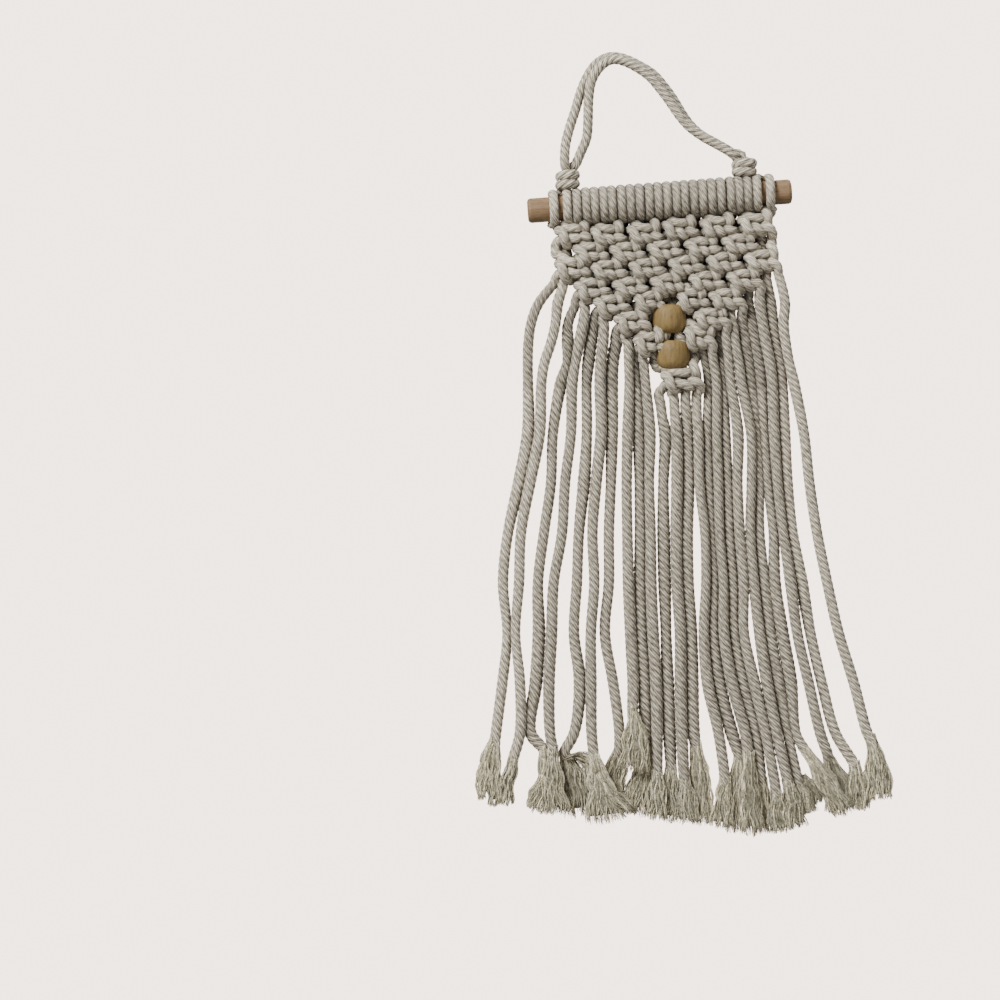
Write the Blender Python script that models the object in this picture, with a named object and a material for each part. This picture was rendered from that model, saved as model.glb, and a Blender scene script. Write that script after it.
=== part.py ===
"""Macrame wall hanging on a short wooden dowel, seen as it hangs: a doubled cord loop at the top,
twenty-four cord turns round the dowel, a V of square knots with two wooden beads in its middle,
and twenty-four long cords that fan out and end in combed-out brushes.

Metres, +Z up, the front looks along -Y. The origin is the inside top of the cord loop, where the
hook or nail goes. Tables are in millimetres from that origin.
"""
import math
from typing import NamedTuple, Optional

import bmesh
import bpy
from mathutils import Vector

MM = 0.001
FIT_GAP = 0.3                    # clearance between neighbouring pieces, mm
SAME_PLANE = math.radians(2.0)   # faces nearer than this to one plane become one face

# ---- dowel ---------------------------------------------------------------------------------
DOWEL_LEFT = Vector((-43.2, 0.0, -74.0))
DOWEL_RIGHT = Vector((88.6, 0.0, -64.2))
DOWEL_RADIUS = 6.2
DOWEL_ROUNDING = 1.6             # rounding of the two end edges
DOWEL_SIDES = 28

# ---- cord ----------------------------------------------------------------------------------
STRANDS = 24
CORD_RADIUS = 2.4                # half the diagonal of the four-sided strand
FRONT_LAYER = -2.8               # even strands hang in front of odd ones
BACK_LAYER = 2.8

# ---- turns round the dowel -----------------------------------------------------------------
FIRST_INNER_TURN_X = -23.4       # second strand's turn
TURN_PITCH = 4.49
OUTER_TURN_STEP = 6.7            # the outermost turns stand off from the rest
TURN_INNER_RADIUS = DOWEL_RADIUS + FIT_GAP
TURN_THICKNESS = 3.0
TURN_FOOT_WIDTH = 4.1
TURN_CREST_WIDTH = 2.4
TURN_SEGMENTS = 8
LEG_START_BACK = 5.0             # where a strand leaves its turn, behind and below the dowel
LEG_START_DROP = 7.6
BRIDGE_HEIGHT = 3.6              # bar across each pair of turns, at the back
BRIDGE_DROP = 1.0
BRIDGE_DEPTH = 4.0

# ---- square knots --------------------------------------------------------------------------
KNOT_HALF_HEIGHT = 4.9
KNOT_HALF_WIDTH = 8.4
SLIM_HALF_WIDTH = 5.4            # knots that leave room for a bead
KNOT_HALF_DEPTH = 5.4
KNOT_END_SHRINK = 0.5            # height and depth of a knot's ends against its middle
KNOT_TAPER = 1.7                 # length of a knot's narrowing ends
KNOT_LEAN = 0.5                  # rise of a knot's bars from left to right
CARRIER_OFFSET = 5.0             # working cords, either side of a knot's middle
FILLER_OFFSET = 2.1              # carried cords
KNOTS_MEET = 2.0 * KNOT_HALF_HEIGHT - 0.4    # knots further apart than this show cord between


class Knot(NamedTuple):
    """A square knot over four neighbouring strands."""
    first_strand: int
    x: float
    z: float
    half_width: float = KNOT_HALF_WIDTH


KNOTS = (
    # first row, under the dowel
    Knot(1, -21.0, -85.0), Knot(5, -4.0, -85.4), Knot(9, 14.5, -84.8),
    Knot(13, 32.5, -83.8), Knot(17, 51.0, -82.6), Knot(21, 69.8, -81.2),
    # second row
    Knot(3, -11.8, -94.2), Knot(7, 6.0, -94.3), Knot(11, 24.5, -93.2),
    Knot(15, 43.0, -92.0), Knot(19, 61.5, -90.6),
    # third row
    Knot(1, -21.5, -103.0), Knot(5, -3.5, -103.4), Knot(9, 15.5, -102.5),
    Knot(13, 34.5, -101.2), Knot(17, 53.2, -99.8), Knot(21, 72.5, -99.0),
    # fourth row
    Knot(3, -12.0, -112.2), Knot(7, 7.0, -112.0), Knot(11, 25.6, -110.6),
    Knot(15, 44.6, -109.4), Knot(19, 64.0, -108.3),
    # the V closes in, round the beads
    Knot(5, -2.5, -121.0), Knot(9, 15.8, -118.2, SLIM_HALF_WIDTH),
    Knot(13, 39.4, -117.6, SLIM_HALF_WIDTH), Knot(17, 56.2, -117.8),
    Knot(7, 7.5, -128.8), Knot(15, 48.0, -126.8),
    Knot(9, 15.4, -138.8, SLIM_HALF_WIDTH), Knot(13, 43.4, -136.4, SLIM_HALF_WIDTH),
    Knot(11, 32.0, -159.0),
)


class Pass(NamedTuple):
    """A point that a strand passes between two of its knots."""
    strand: int
    x: float
    y: float
    z: float


PASSES = (
    Pass(1, -30.0, 0.0, -93.5), Pass(2, -24.0, 0.0, -93.5),
    Pass(23, 74.8, 0.0, -89.5), Pass(24, 80.6, 0.0, -90.0),
    # either side of the beads
    Pass(11, 15.6, 1.0, -127.7), Pass(14, 39.5, 1.0, -127.0),
    Pass(11, 18.2, 1.0, -146.0), Pass(14, 41.2, 1.0, -146.0),
    Pass(11, 19.0, 1.0, -153.2), Pass(14, 40.4, 1.0, -152.6),
)

# The two middle strands run down through the beads side by side.
THREADED_STRANDS = (12, 13)
THREADED_PLACES = (-1.6, 1.6)    # either side of the bore's middle
THREADED_ROUTE = ((27.4, -116.5), (27.6, -121.0), (27.8, -135.6), (29.3, -138.6), (29.6, -152.8),
                  (31.0, -157.0))


class Link(NamedTuple):
    """A squeezed cord between the threaded strands and the knot beside them."""
    from_x: float
    from_z: float
    to_x: float
    to_z: float


LINKS = (
    Link(18.0, -118.8, 26.5, -118.5), Link(37.0, -118.2, 28.5, -118.5),
    Link(17.0, -137.6, 27.5, -137.1), Link(42.0, -136.8, 29.5, -137.1),
)
LINK_HALF_HEIGHT = 1.2
LINK_HALF_DEPTH = 2.6


class Fall(NamedTuple):
    """A free strand: its x at each height below its last knot, None while it is knotted."""
    strand: int
    x120: Optional[float]
    x140: Optional[float]
    x160: Optional[float]
    x185: float
    x210: float
    x235: float
    x260: float
    x285: float
    x310: float
    x335: Optional[float]


FALL_HEIGHTS = (-120.0, -140.0, -160.0, -185.0, -210.0, -235.0, -260.0, -285.0, -310.0, -335.0)
FALLS = (
    Fall(1, -37.0, -42.8, -43.0, -43.0, -47.5, -53.0, -55.5, -54.5, -57.5, -61.0),
    Fall(2, -28.0, -31.5, -36.5, -37.2, -42.0, -46.5, -47.5, -49.2, -47.0, -48.0),
    Fall(3, -21.8, -23.2, -26.0, -30.5, -31.5, -35.0, -38.0, -37.5, -39.0, -41.8),
    Fall(4, -13.5, -17.2, -20.8, -21.5, -24.5, -26.0, -30.2, -31.2, -32.5, -32.0),
    Fall(5, None, -11.5, -13.6, -13.5, -15.0, -17.5, -18.5, -20.0, -17.0, -19.8),
    Fall(6, None, -5.5, -7.0, -6.5, -9.0, -10.8, -10.8, -11.0, -11.5, -11.2),
    Fall(7, None, 1.0, -1.0, -1.0, -1.5, -2.5, -2.5, -4.5, -1.5, 1.8),
    Fall(8, None, 7.0, 7.5, 6.8, 5.8, 5.8, 6.5, 8.5, 9.5, None),
    Fall(9, None, None, 11.5, 12.0, 12.0, 13.0, 12.5, 14.5, 15.2, 16.0),
    Fall(10, None, None, 16.5, 18.0, 17.5, 19.0, 19.0, 20.5, 21.0, 21.5),
    Fall(11, None, None, None, 26.0, 25.0, 25.0, 25.0, 26.0, 27.0, 27.8),
    Fall(12, None, None, None, 31.5, 31.5, 31.0, 31.5, 33.5, 33.0, 33.5),
    Fall(13, None, None, None, 37.2, 37.5, 36.8, 37.0, 39.5, 39.8, 40.5),
    Fall(14, None, None, None, 42.5, 43.0, 44.9, 44.0, 45.5, 46.8, 52.0),
    Fall(15, None, None, 47.5, 47.5, 47.5, 48.5, 49.0, 50.5, 52.5, 58.5),
    Fall(16, None, None, 51.2, 52.0, 52.0, 52.8, 53.5, 55.5, 57.8, 64.5),
    Fall(17, None, 53.0, 54.5, 55.8, 57.0, 58.0, 59.0, 60.0, 63.5, 69.5),
    Fall(18, None, 55.0, 57.5, 61.5, 62.0, 63.5, 64.0, 66.0, 69.5, 74.0),
    Fall(19, None, 59.5, 62.8, 65.8, 68.0, 68.0, 69.0, 73.0, 76.0, 79.5),
    Fall(20, None, 65.5, 68.0, 70.0, 72.3, 73.0, 75.0, 77.5, 82.0, 85.5),
    Fall(21, 66.5, 70.8, 73.5, 74.9, 76.8, 79.4, 80.5, 83.5, 88.0, 92.0),
    Fall(22, 73.0, 75.8, 79.3, 80.0, 81.9, 84.5, 87.3, 92.3, 97.5, 103.5),
    Fall(23, 78.5, 81.0, 84.0, 85.0, 86.4, 89.5, 93.5, 99.0, 105.5, 111.8),
    Fall(24, 85.5, 86.0, 90.0, 95.3, 97.5, 101.4, 106.5, 112.0, 119.5, 126.5),
)


class Brush(NamedTuple):
    """A strand's combed-out end: where the rope stops and where its fibres reach."""
    strand: int
    top_x: float
    top_z: float
    tip_x: float
    tip_z: float
    half_width: float


BRUSHES = (
    Brush(1, -60.8, -342.0, -62.6, -368.5, 5.6), Brush(2, -50.5, -348.0, -56.0, -371.0, 5.2),
    Brush(3, -35.5, -343.0, -34.0, -374.5, 5.4), Brush(4, -30.0, -342.5, -26.0, -373.5, 5.6),
    Brush(5, -23.0, -344.5, -19.0, -370.0, 7.6), Brush(6, -8.5, -347.5, -3.0, -377.5, 10.6),
    Brush(7, 2.0, -344.5, -3.0, -368.0, 7.0), Brush(8, 10.0, -325.5, 9.0, -353.0, 6.4),
    Brush(9, 16.5, -339.5, 13.0, -374.5, 6.8), Brush(10, 23.0, -346.5, 22.6, -376.5, 6.0),
    Brush(11, 29.0, -350.5, 30.5, -378.0, 5.5), Brush(12, 35.5, -350.5, 38.5, -378.0, 5.5),
    Brush(13, 41.5, -343.5, 46.0, -379.5, 5.6), Brush(14, 56.0, -351.5, 54.0, -382.5, 6.0),
    Brush(15, 62.0, -347.5, 62.5, -384.0, 5.5), Brush(16, 67.5, -346.0, 70.0, -385.0, 5.5),
    Brush(17, 73.0, -352.5, 76.0, -384.5, 5.2), Brush(18, 79.0, -355.5, 82.0, -384.0, 5.2),
    Brush(19, 84.5, -352.5, 88.0, -381.5, 5.2), Brush(20, 89.0, -353.5, 94.5, -377.5, 5.5),
    Brush(21, 96.0, -344.5, 110.0, -376.0, 6.4), Brush(22, 107.5, -346.5, 114.5, -373.0, 6.0),
    Brush(23, 118.0, -351.5, 124.5, -373.0, 6.0), Brush(24, 129.0, -341.0, 134.8, -366.0, 5.6),
)
BRUSH_LOCKS = 3                  # raised locks across a brush
BRUSH_SECTIONS = (0.0, 1.0)                   # heights of a brush's sections, as shares
BRUSH_SPREAD = (0.5, 1.0)                     # its width there, as shares of the tip's
BRUSH_HALF_DEPTH = 1.9
BRUSH_GROOVE = 0.55              # depth of a groove between locks against a lock's own
RAGGED = (0.0, 2.4, 0.6, 3.0)                # how far each lock's tip falls short

# ---- beads ---------------------------------------------------------------------------------
BEAD_BORE = 4.7
BEAD_HALF_HEIGHT = 7.1
BEAD_END_RADIUS = 5.9
BEAD_RADIUS = 8.5
BEAD_STEPS = 5
BEAD_SIDES = 20
BEAD_UPPER_CENTRE = Vector((27.6, 0.0, -128.1))
BEAD_LOWER_CENTRE = Vector((29.5, 0.0, -146.0))

# ---- cord loop -----------------------------------------------------------------------------
LOOP_FRONT_Y = -2.7
LOOP_BACK_Y = 2.7


class LoopKnot(NamedTuple):
    """A wrapped knot at the foot of the loop, on the turns of the dowel."""
    x: float
    z: float
    half_width: float
    half_height: float
    half_depth: float


LOOP_KNOTS = (LoopKnot(-23.2, -57.4, 5.3, 4.8, 5.6), LoopKnot(65.2, -51.9, 6.2, 4.0, 5.4))
# Route of the front cord, from the left knot over the top to the right one: (x, z).
LOOP_FRONT_ROUTE = (
    (-24.5, -56.0), (-24.7, -42.0), (-23.0, -34.5), (-19.5, -23.0), (-16.7, -13.8), (-13.2, -6.0),
    (-8.7, 0.0), (-3.5, 3.0), (1.2, 3.5), (6.5, 2.0), (12.8, -1.0), (19.0, -5.5), (24.0, -11.5),
    (28.8, -18.5), (33.5, -26.0), (38.0, -31.5), (44.0, -36.0), (51.0, -40.0), (58.0, -43.8),
    (65.0, -51.0),
)
# The second cord starts on its own and runs behind the first from the top on.
LOOP_BACK_ROUTE = (
    (-21.5, -56.0), (-19.8, -52.0), (-16.5, -44.5), (-13.6, -37.5), (-13.2, -28.3), (-13.0, -19.0),
    (-11.4, -9.0), (-7.0, -2.2), (-2.6, 1.0), (1.2, 1.8), (6.0, 0.6), (12.0, -2.6), (18.0, -6.8),
    (23.0, -12.6), (27.6, -19.4), (32.4, -26.8), (37.2, -32.8), (43.4, -37.4), (50.6, -41.4),
    (57.4, -45.0), (64.0, -51.0),
)

# ---- materials: linear colour, roughness ---------------------------------------------------
COTTON = ("cotton", (0.46, 0.42, 0.33, 1.0), 0.9)
DOWEL_WOOD = ("stained_wood", (0.27, 0.17, 0.09, 1.0), 0.55)
BEAD_WOOD = ("pale_wood", (0.40, 0.29, 0.15, 1.0), 0.6)


# ---- mesh helpers --------------------------------------------------------------------------
def make_material(name, colour, roughness):
    """Return a Principled material of one plain colour."""
    material = bpy.data.materials.new(name)
    material.use_nodes = True
    shader = material.node_tree.nodes["Principled BSDF"]
    shader.inputs["Base Color"].default_value = colour
    shader.inputs["Roughness"].default_value = roughness
    shader.inputs["Metallic"].default_value = 0.0
    return material


def make_object(name, sections, material, collection=None, ring=False):
    """Skin equal sections (mm) in order, cap the ends or close the ring, return the object."""
    mesh = bmesh.new()
    loops = [[mesh.verts.new(Vector(point) * MM) for point in section] for section in sections]
    count = len(loops[0])
    pairs = list(zip(loops, loops[1:]))
    if ring:
        pairs.append((loops[-1], loops[0]))
    else:
        mesh.faces.new(list(reversed(loops[0])))
        mesh.faces.new(loops[-1])
    for low, high in pairs:
        for i in range(count):
            j = (i + 1) % count
            mesh.faces.new((low[i], low[j], high[j], high[i]))
    bmesh.ops.recalc_face_normals(mesh, faces=mesh.faces)
    data = bpy.data.meshes.new(name)
    mesh.to_mesh(data)
    mesh.free()
    data.materials.append(material)
    piece = bpy.data.objects.new(name, data)
    (collection or bpy.context.scene.collection).objects.link(piece)
    return piece


def tube_sections(points, radius=CORD_RADIUS, half_depth=CORD_RADIUS):
    """Return four-sided sections along a route, each with an edge to the front."""
    sections = []
    last = len(points) - 1
    for i, point in enumerate(points):
        along = (points[min(i + 1, last)] - points[max(i - 1, 0)]).normalized()
        side = along.cross(Vector((0.0, 1.0, 0.0))).normalized() * radius
        front = along.cross(side).normalized() * half_depth
        sections.append([point + side, point + front, point - side, point - front])
    return sections


def knot_sections(x, z, half_width, half_height, half_depth, lean):
    """Return the sections of a knot of two bars, in front and behind, across its width."""
    sections = []
    shoulder = 1.0 - KNOT_TAPER / half_width
    for along, shrink in ((-1.0, KNOT_END_SHRINK), (-shoulder, 1.0),
                          (shoulder, 1.0), (1.0, KNOT_END_SHRINK)):
        high = half_height * shrink
        deep = half_depth * shrink
        waist = deep * 0.62
        outline = ((-waist, high), (-deep, 0.55 * high), (-waist, 0.0), (-deep, -0.55 * high),
                   (-waist, -high), (waist, -high), (deep, 0.0), (waist, high))
        rise = lean * along
        sections.append([Vector((x + along * half_width, y, z + rise + up)) for y, up in outline])
    return sections


def fuse(name, parts, first_material):
    """Join a collection of overlapping pieces into one body with a Boolean union."""
    body = parts.objects[0]
    parts.objects.unlink(body)
    bpy.context.scene.collection.objects.link(body)
    body.name = name
    body.data.name = name
    union = body.modifiers.new("fused", "BOOLEAN")
    union.operation = "UNION"
    union.operand_type = "COLLECTION"
    union.collection = parts
    union.solver = "EXACT"
    plain = body.modifiers.new("plain_faces", "DECIMATE")
    plain.decimate_type = "DISSOLVE"
    plain.angle_limit = SAME_PLANE
    for part in parts.objects:
        part.hide_render = True
        part.display_type = "WIRE"
    body.data.materials.clear()
    body.data.materials.append(first_material)
    return body


def new_collection(name):
    """Return a new collection linked to the scene."""
    group = bpy.data.collections.new(name)
    bpy.context.scene.collection.children.link(group)
    return group


# ---- dowel and its turns -------------------------------------------------------------------
DOWEL_AXIS = (DOWEL_RIGHT - DOWEL_LEFT).normalized()
DOWEL_UP = Vector((-DOWEL_AXIS.z, 0.0, DOWEL_AXIS.x))
DEPTH = Vector((0.0, 1.0, 0.0))


def dowel_point(x):
    """Return the point of the dowel's axis at a given x."""
    share = (x - DOWEL_LEFT.x) / (DOWEL_RIGHT.x - DOWEL_LEFT.x)
    return DOWEL_LEFT.lerp(DOWEL_RIGHT, share)


def circle(centre, radius, sides):
    """Return points of a circle round the dowel's direction."""
    turns = (2.0 * math.pi * i / sides for i in range(sides))
    return [centre + DOWEL_UP * radius * math.cos(a) + DEPTH * radius * math.sin(a) for a in turns]


def build_dowel(material):
    """Model the dowel, a round bar with softened end edges."""
    length = (DOWEL_RIGHT - DOWEL_LEFT).length
    profile = [(DOWEL_ROUNDING * (1.0 - math.sin(a)), DOWEL_RADIUS - DOWEL_ROUNDING * (1.0 - math.cos(a)))
               for a in (math.pi / 2.0, math.pi / 4.0, 0.0)]
    stations = profile + [(length - along, radius) for along, radius in reversed(profile)]
    sections = [circle(DOWEL_LEFT + DOWEL_AXIS * along, radius, DOWEL_SIDES) for along, radius in stations]
    dowel = make_object("dowel", sections, material)
    dowel.data.shade_smooth()
    dowel.data.set_sharp_from_angle(angle=math.radians(40.0))


def turn_x(strand):
    """Return where a strand's turn sits along the dowel."""
    if strand == 1:
        return FIRST_INNER_TURN_X - OUTER_TURN_STEP
    if strand == STRANDS:
        return FIRST_INNER_TURN_X + TURN_PITCH * (STRANDS - 3) + OUTER_TURN_STEP
    return FIRST_INNER_TURN_X + TURN_PITCH * (strand - 2)


def add_turn(strand, material, parts):
    """Model one turn of cord round the dowel, flattened where it presses on the wood."""
    centre = dowel_point(turn_x(strand))
    inner = TURN_INNER_RADIUS / math.cos(math.pi / TURN_SEGMENTS)
    outer = inner + TURN_THICKNESS
    profile = ((-TURN_FOOT_WIDTH / 2.0, inner), (TURN_FOOT_WIDTH / 2.0, inner),
               (TURN_CREST_WIDTH / 2.0, outer), (-TURN_CREST_WIDTH / 2.0, outer))
    sections = []
    for i in range(TURN_SEGMENTS):
        angle = 2.0 * math.pi * (i + 0.5) / TURN_SEGMENTS
        outwards = DOWEL_UP * math.cos(angle) + DEPTH * math.sin(angle)
        sections.append([centre + DOWEL_AXIS * along + outwards * radius for along, radius in profile])
    make_object(f"turn_{strand:02d}", sections, material, parts, ring=True)


def add_bridge(strand, material, parts):
    """Model the bar behind the dowel that joins a strand's turn to the next one's."""
    left = dowel_point(turn_x(strand))
    right = dowel_point(turn_x(strand + 1))
    back = DEPTH * (TURN_INNER_RADIUS + TURN_THICKNESS - 1.0) - DOWEL_UP * BRIDGE_DROP
    half_up = DOWEL_UP * BRIDGE_HEIGHT / 2.0
    outwards = DEPTH * BRIDGE_DEPTH / 2.0
    sections = []
    for end in (left - DOWEL_AXIS * 1.7 + back, right + DOWEL_AXIS * 1.7 + back):
        sections.append([end - half_up, end + outwards, end + half_up, end - outwards])
    make_object(f"bridge_{strand:02d}", sections, material, parts)


# ---- strands -------------------------------------------------------------------------------
def knot_point(knot, strand):
    """Return where a strand passes a knot: carried in the middle or working at the side."""
    place = strand - knot.first_strand
    offset = (-CARRIER_OFFSET, -FILLER_OFFSET, FILLER_OFFSET, CARRIER_OFFSET)[place]
    return Vector((knot.x + offset * knot.half_width / KNOT_HALF_WIDTH, 0.0, knot.z))


def strand_runs(strand):
    """Return the stretches of a strand that show: its leg, its passes and its long fall."""
    start = dowel_point(turn_x(strand)) + Vector((0.0, LEG_START_BACK, -LEG_START_DROP))
    knots = [knot_point(knot, strand) for knot in KNOTS if 0 <= strand - knot.first_strand <= 3]
    runs = [[start, knots[0]]]
    passes = [Vector((p.x, p.y, p.z)) for p in PASSES if p.strand == strand]
    for upper, lower in zip(knots, knots[1:]):
        between = [point for point in passes if lower.z < point.z < upper.z]
        apart = upper.z - lower.z > KNOTS_MEET and strand not in THREADED_STRANDS
        if between or apart:
            runs.append([upper] + between + [lower])
    layer = FRONT_LAYER if strand % 2 == 0 else BACK_LAYER
    fall = [knots[-1]]
    for x, z in zip(FALLS[strand - 1][1:], FALL_HEIGHTS):
        if x is not None and z < knots[-1].z - KNOT_HALF_HEIGHT:
            fall.append(Vector((x, layer, z)))
    brush = BRUSHES[strand - 1]
    fall.append(Vector((brush.top_x, layer, brush.top_z)))
    return runs + [fall]


def add_brush(strand, material, parts):
    """Model a strand's combed-out end as a flat fan of raised locks with a ragged edge."""
    brush = BRUSHES[strand - 1]
    layer = FRONT_LAYER if strand % 2 == 0 else BACK_LAYER
    top = Vector((brush.top_x, layer, brush.top_z + 2.0))
    tip = Vector((brush.tip_x, layer, brush.tip_z))
    across = (tip - top).cross(DEPTH).normalized() * -brush.half_width
    down = (tip - top).normalized()
    columns = 2 * BRUSH_LOCKS
    sections = []
    for share, spread in zip(BRUSH_SECTIONS, BRUSH_SPREAD):
        middle = top.lerp(tip, share)
        front = []
        back = []
        for column in range(columns + 1):
            ridge = column % 2 == 1
            depth = BRUSH_HALF_DEPTH * (1.0 if ridge else BRUSH_GROOVE)
            short = RAGGED[(column // 2 + strand) % len(RAGGED)] + (0.0 if ridge else 1.6)
            point = middle + across * spread * (2.0 * column / columns - 1.0)
            point -= down * short * share
            front.append(point - DEPTH * depth)
            back.append(point + DEPTH * depth)
        sections.append(front + list(reversed(back)))
    make_object(f"brush_{strand:02d}", sections, material, parts)


def build_panel(material):
    """Fuse turns, knots, strands and brushes into the one macrame piece."""
    parts = new_collection("panel_parts")
    for strand in range(1, STRANDS + 1):
        for i, run in enumerate(strand_runs(strand)):
            make_object(f"strand_{strand:02d}_{i}", tube_sections(run), material, parts)
        add_turn(strand, material, parts)
        add_brush(strand, material, parts)
    for strand in range(3, STRANDS - 2, 2):
        add_bridge(strand, material, parts)
    for i, offset in enumerate(THREADED_PLACES):
        points = [Vector((x + offset, 0.0, z)) for x, z in THREADED_ROUTE]
        make_object(f"threaded_{i}", tube_sections(points), material, parts)
    for i, link in enumerate(LINKS):
        points = [Vector((link.from_x, 0.0, link.from_z)), Vector((link.to_x, 0.0, link.to_z))]
        sections = tube_sections(points, LINK_HALF_HEIGHT, LINK_HALF_DEPTH)
        make_object(f"link_{i}", sections, material, parts)
    for i, knot in enumerate(KNOTS):
        sections = knot_sections(knot.x, knot.z, knot.half_width, KNOT_HALF_HEIGHT, KNOT_HALF_DEPTH,
                                 KNOT_LEAN)
        make_object(f"knot_{i:02d}", sections, material, parts)
    fuse("macrame_panel", parts, material)


def build_loop(material):
    """Fuse the loop's two cords and its two foot knots."""
    parts = new_collection("loop_parts")
    for name, route, y in (("front_cord", LOOP_FRONT_ROUTE, LOOP_FRONT_Y),
                           ("back_cord", LOOP_BACK_ROUTE, LOOP_BACK_Y)):
        points = [Vector((x, y, z)) for x, z in route]
        make_object(name, tube_sections(points), material, parts)
    for i, knot in enumerate(LOOP_KNOTS):
        sections = knot_sections(knot.x, knot.z, knot.half_width, knot.half_height, knot.half_depth, 0.0)
        make_object(f"foot_knot_{i}", sections, material, parts)
    fuse("hanging_loop", parts, material)


def build_bead(name, centre, material):
    """Model a barrel-shaped wooden bead with a wide bore."""
    outline = []
    for i in range(BEAD_STEPS + 1):
        share = -1.0 + 2.0 * i / BEAD_STEPS
        swell = math.sqrt(1.0 - share * share)
        outline.append((BEAD_END_RADIUS + (BEAD_RADIUS - BEAD_END_RADIUS) * swell,
                        BEAD_HALF_HEIGHT * share))
    profile = outline + [(BEAD_BORE, BEAD_HALF_HEIGHT), (BEAD_BORE, -BEAD_HALF_HEIGHT)]
    sections = []
    for i in range(BEAD_SIDES):
        angle = 2.0 * math.pi * i / BEAD_SIDES
        outwards = Vector((math.cos(angle), math.sin(angle), 0.0))
        sections.append([centre + outwards * radius + Vector((0.0, 0.0, up)) for radius, up in profile])
    bead = make_object(name, sections, material, ring=True)
    bead.data.shade_smooth()
    bead.data.set_sharp_from_angle(angle=math.radians(40.0))


def main():
    """Clear the scene and build each piece."""
    for old in list(bpy.data.objects):
        bpy.data.objects.remove(old, do_unlink=True)
    cotton = make_material(*COTTON)
    build_dowel(make_material(*DOWEL_WOOD))
    build_panel(cotton)
    build_loop(cotton)
    bead_wood = make_material(*BEAD_WOOD)
    build_bead("bead_upper", BEAD_UPPER_CENTRE, bead_wood)
    build_bead("bead_lower", BEAD_LOWER_CENTRE, bead_wood)


main()
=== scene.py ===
"""Looks of the macrame wall hanging: every cord as a real four-ply rope that can be followed from
its turn round the dowel through its square knots to its combed-out end.

Lengths are in millimetres from the inside top of the hanging loop, and meshes are made in metres.
+Z is up and the front looks along -Y.
"""
import logging
import math
from dataclasses import dataclass, field
from enum import Enum
from typing import Iterator, NamedTuple, Optional, Sequence

import bmesh
import bpy
import numpy as np
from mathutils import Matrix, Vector, kdtree


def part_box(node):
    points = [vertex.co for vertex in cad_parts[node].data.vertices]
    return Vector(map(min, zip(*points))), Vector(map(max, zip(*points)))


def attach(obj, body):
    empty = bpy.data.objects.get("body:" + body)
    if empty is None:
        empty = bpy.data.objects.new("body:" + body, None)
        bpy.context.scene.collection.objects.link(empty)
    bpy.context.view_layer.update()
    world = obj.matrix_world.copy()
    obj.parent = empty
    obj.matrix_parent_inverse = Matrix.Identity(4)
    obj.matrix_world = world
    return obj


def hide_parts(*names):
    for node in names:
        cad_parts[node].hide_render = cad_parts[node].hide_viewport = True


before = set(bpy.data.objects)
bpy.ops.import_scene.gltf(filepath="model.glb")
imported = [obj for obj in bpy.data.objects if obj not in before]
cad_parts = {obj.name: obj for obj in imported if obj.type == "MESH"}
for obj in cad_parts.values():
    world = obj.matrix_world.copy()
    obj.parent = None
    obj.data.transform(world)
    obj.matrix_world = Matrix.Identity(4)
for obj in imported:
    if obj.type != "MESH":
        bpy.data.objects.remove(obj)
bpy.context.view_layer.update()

MM = 0.001
BODY = "root"
LOG = logging.getLogger("macrame")

Array = np.ndarray
Piece = bpy.types.Object
Material = bpy.types.Material
Tree = bpy.types.NodeTree
Node = bpy.types.Node
Socket = bpy.types.NodeSocket
Point = tuple[float, float, float]
Colour = tuple[float, float, float]
BLACK = (0.0, 0.0, 0.0, 1.0)


class Slot(Enum):
    """The record's material slots."""
    COTTON = "cotton"
    DOWEL_WOOD = "dowel_wood"
    BEAD_WOOD = "bead_wood"


# ---- driving sizes and places --------------------------------------------------------------
STRANDS = 24
DOWEL_LEFT = Vector((-43.2, 0.0, -74.0))
DOWEL_RIGHT = Vector((88.6, 0.0, -64.2))
DOWEL_RADIUS = 6.2
CORD_RADIUS = 2.69
BEAD_RADIUS = 8.5
BEAD_HALF_HEIGHT = 7.1
BEAD_CENTRES = (Vector((27.6, 0.0, -128.1)), Vector((29.5, 0.0, -146.0)))
THREADED = (12, 13)  # strands that run through the beads
BEHIND = (1, 3, 5, 7, 9, 11, 13, 15, 17, 20, 21, 23)  # strands that hang behind the others

# Where each strand's turn sits along the dowel, strand 1 first.
TURN_X = (
    -30.1, -23.4, -18.6, -13.9, -9.7, -5.2, -1.1, 3.7, 8.2, 12.7, 17.5, 22.0,
    26.5, 31.0, 35.2, 39.7, 44.1, 48.6, 53.2, 58.1, 62.2, 66.5, 71.0, 77.6,
)

# Painted light and shade: how bright the cord is painted at some heights, darker in the shade on the
# dowel and in the knots and lighter on the free falls: (z, tone).
PAINTED_LIGHT_BY_HEIGHT = ((-180.0, 1.075), (-110.0, 0.975), (-62.0, 0.96), (-52.0, 1.0))


class Knot(NamedTuple):
    """A square knot over four neighbouring strands, and how far it is turned clockwise."""
    first_strand: int
    x: float
    z: float
    turned: float = 0.0
    width: float = 1.0
    reach: float = 1.0  # how far its turn goes behind the hole on its right


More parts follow.
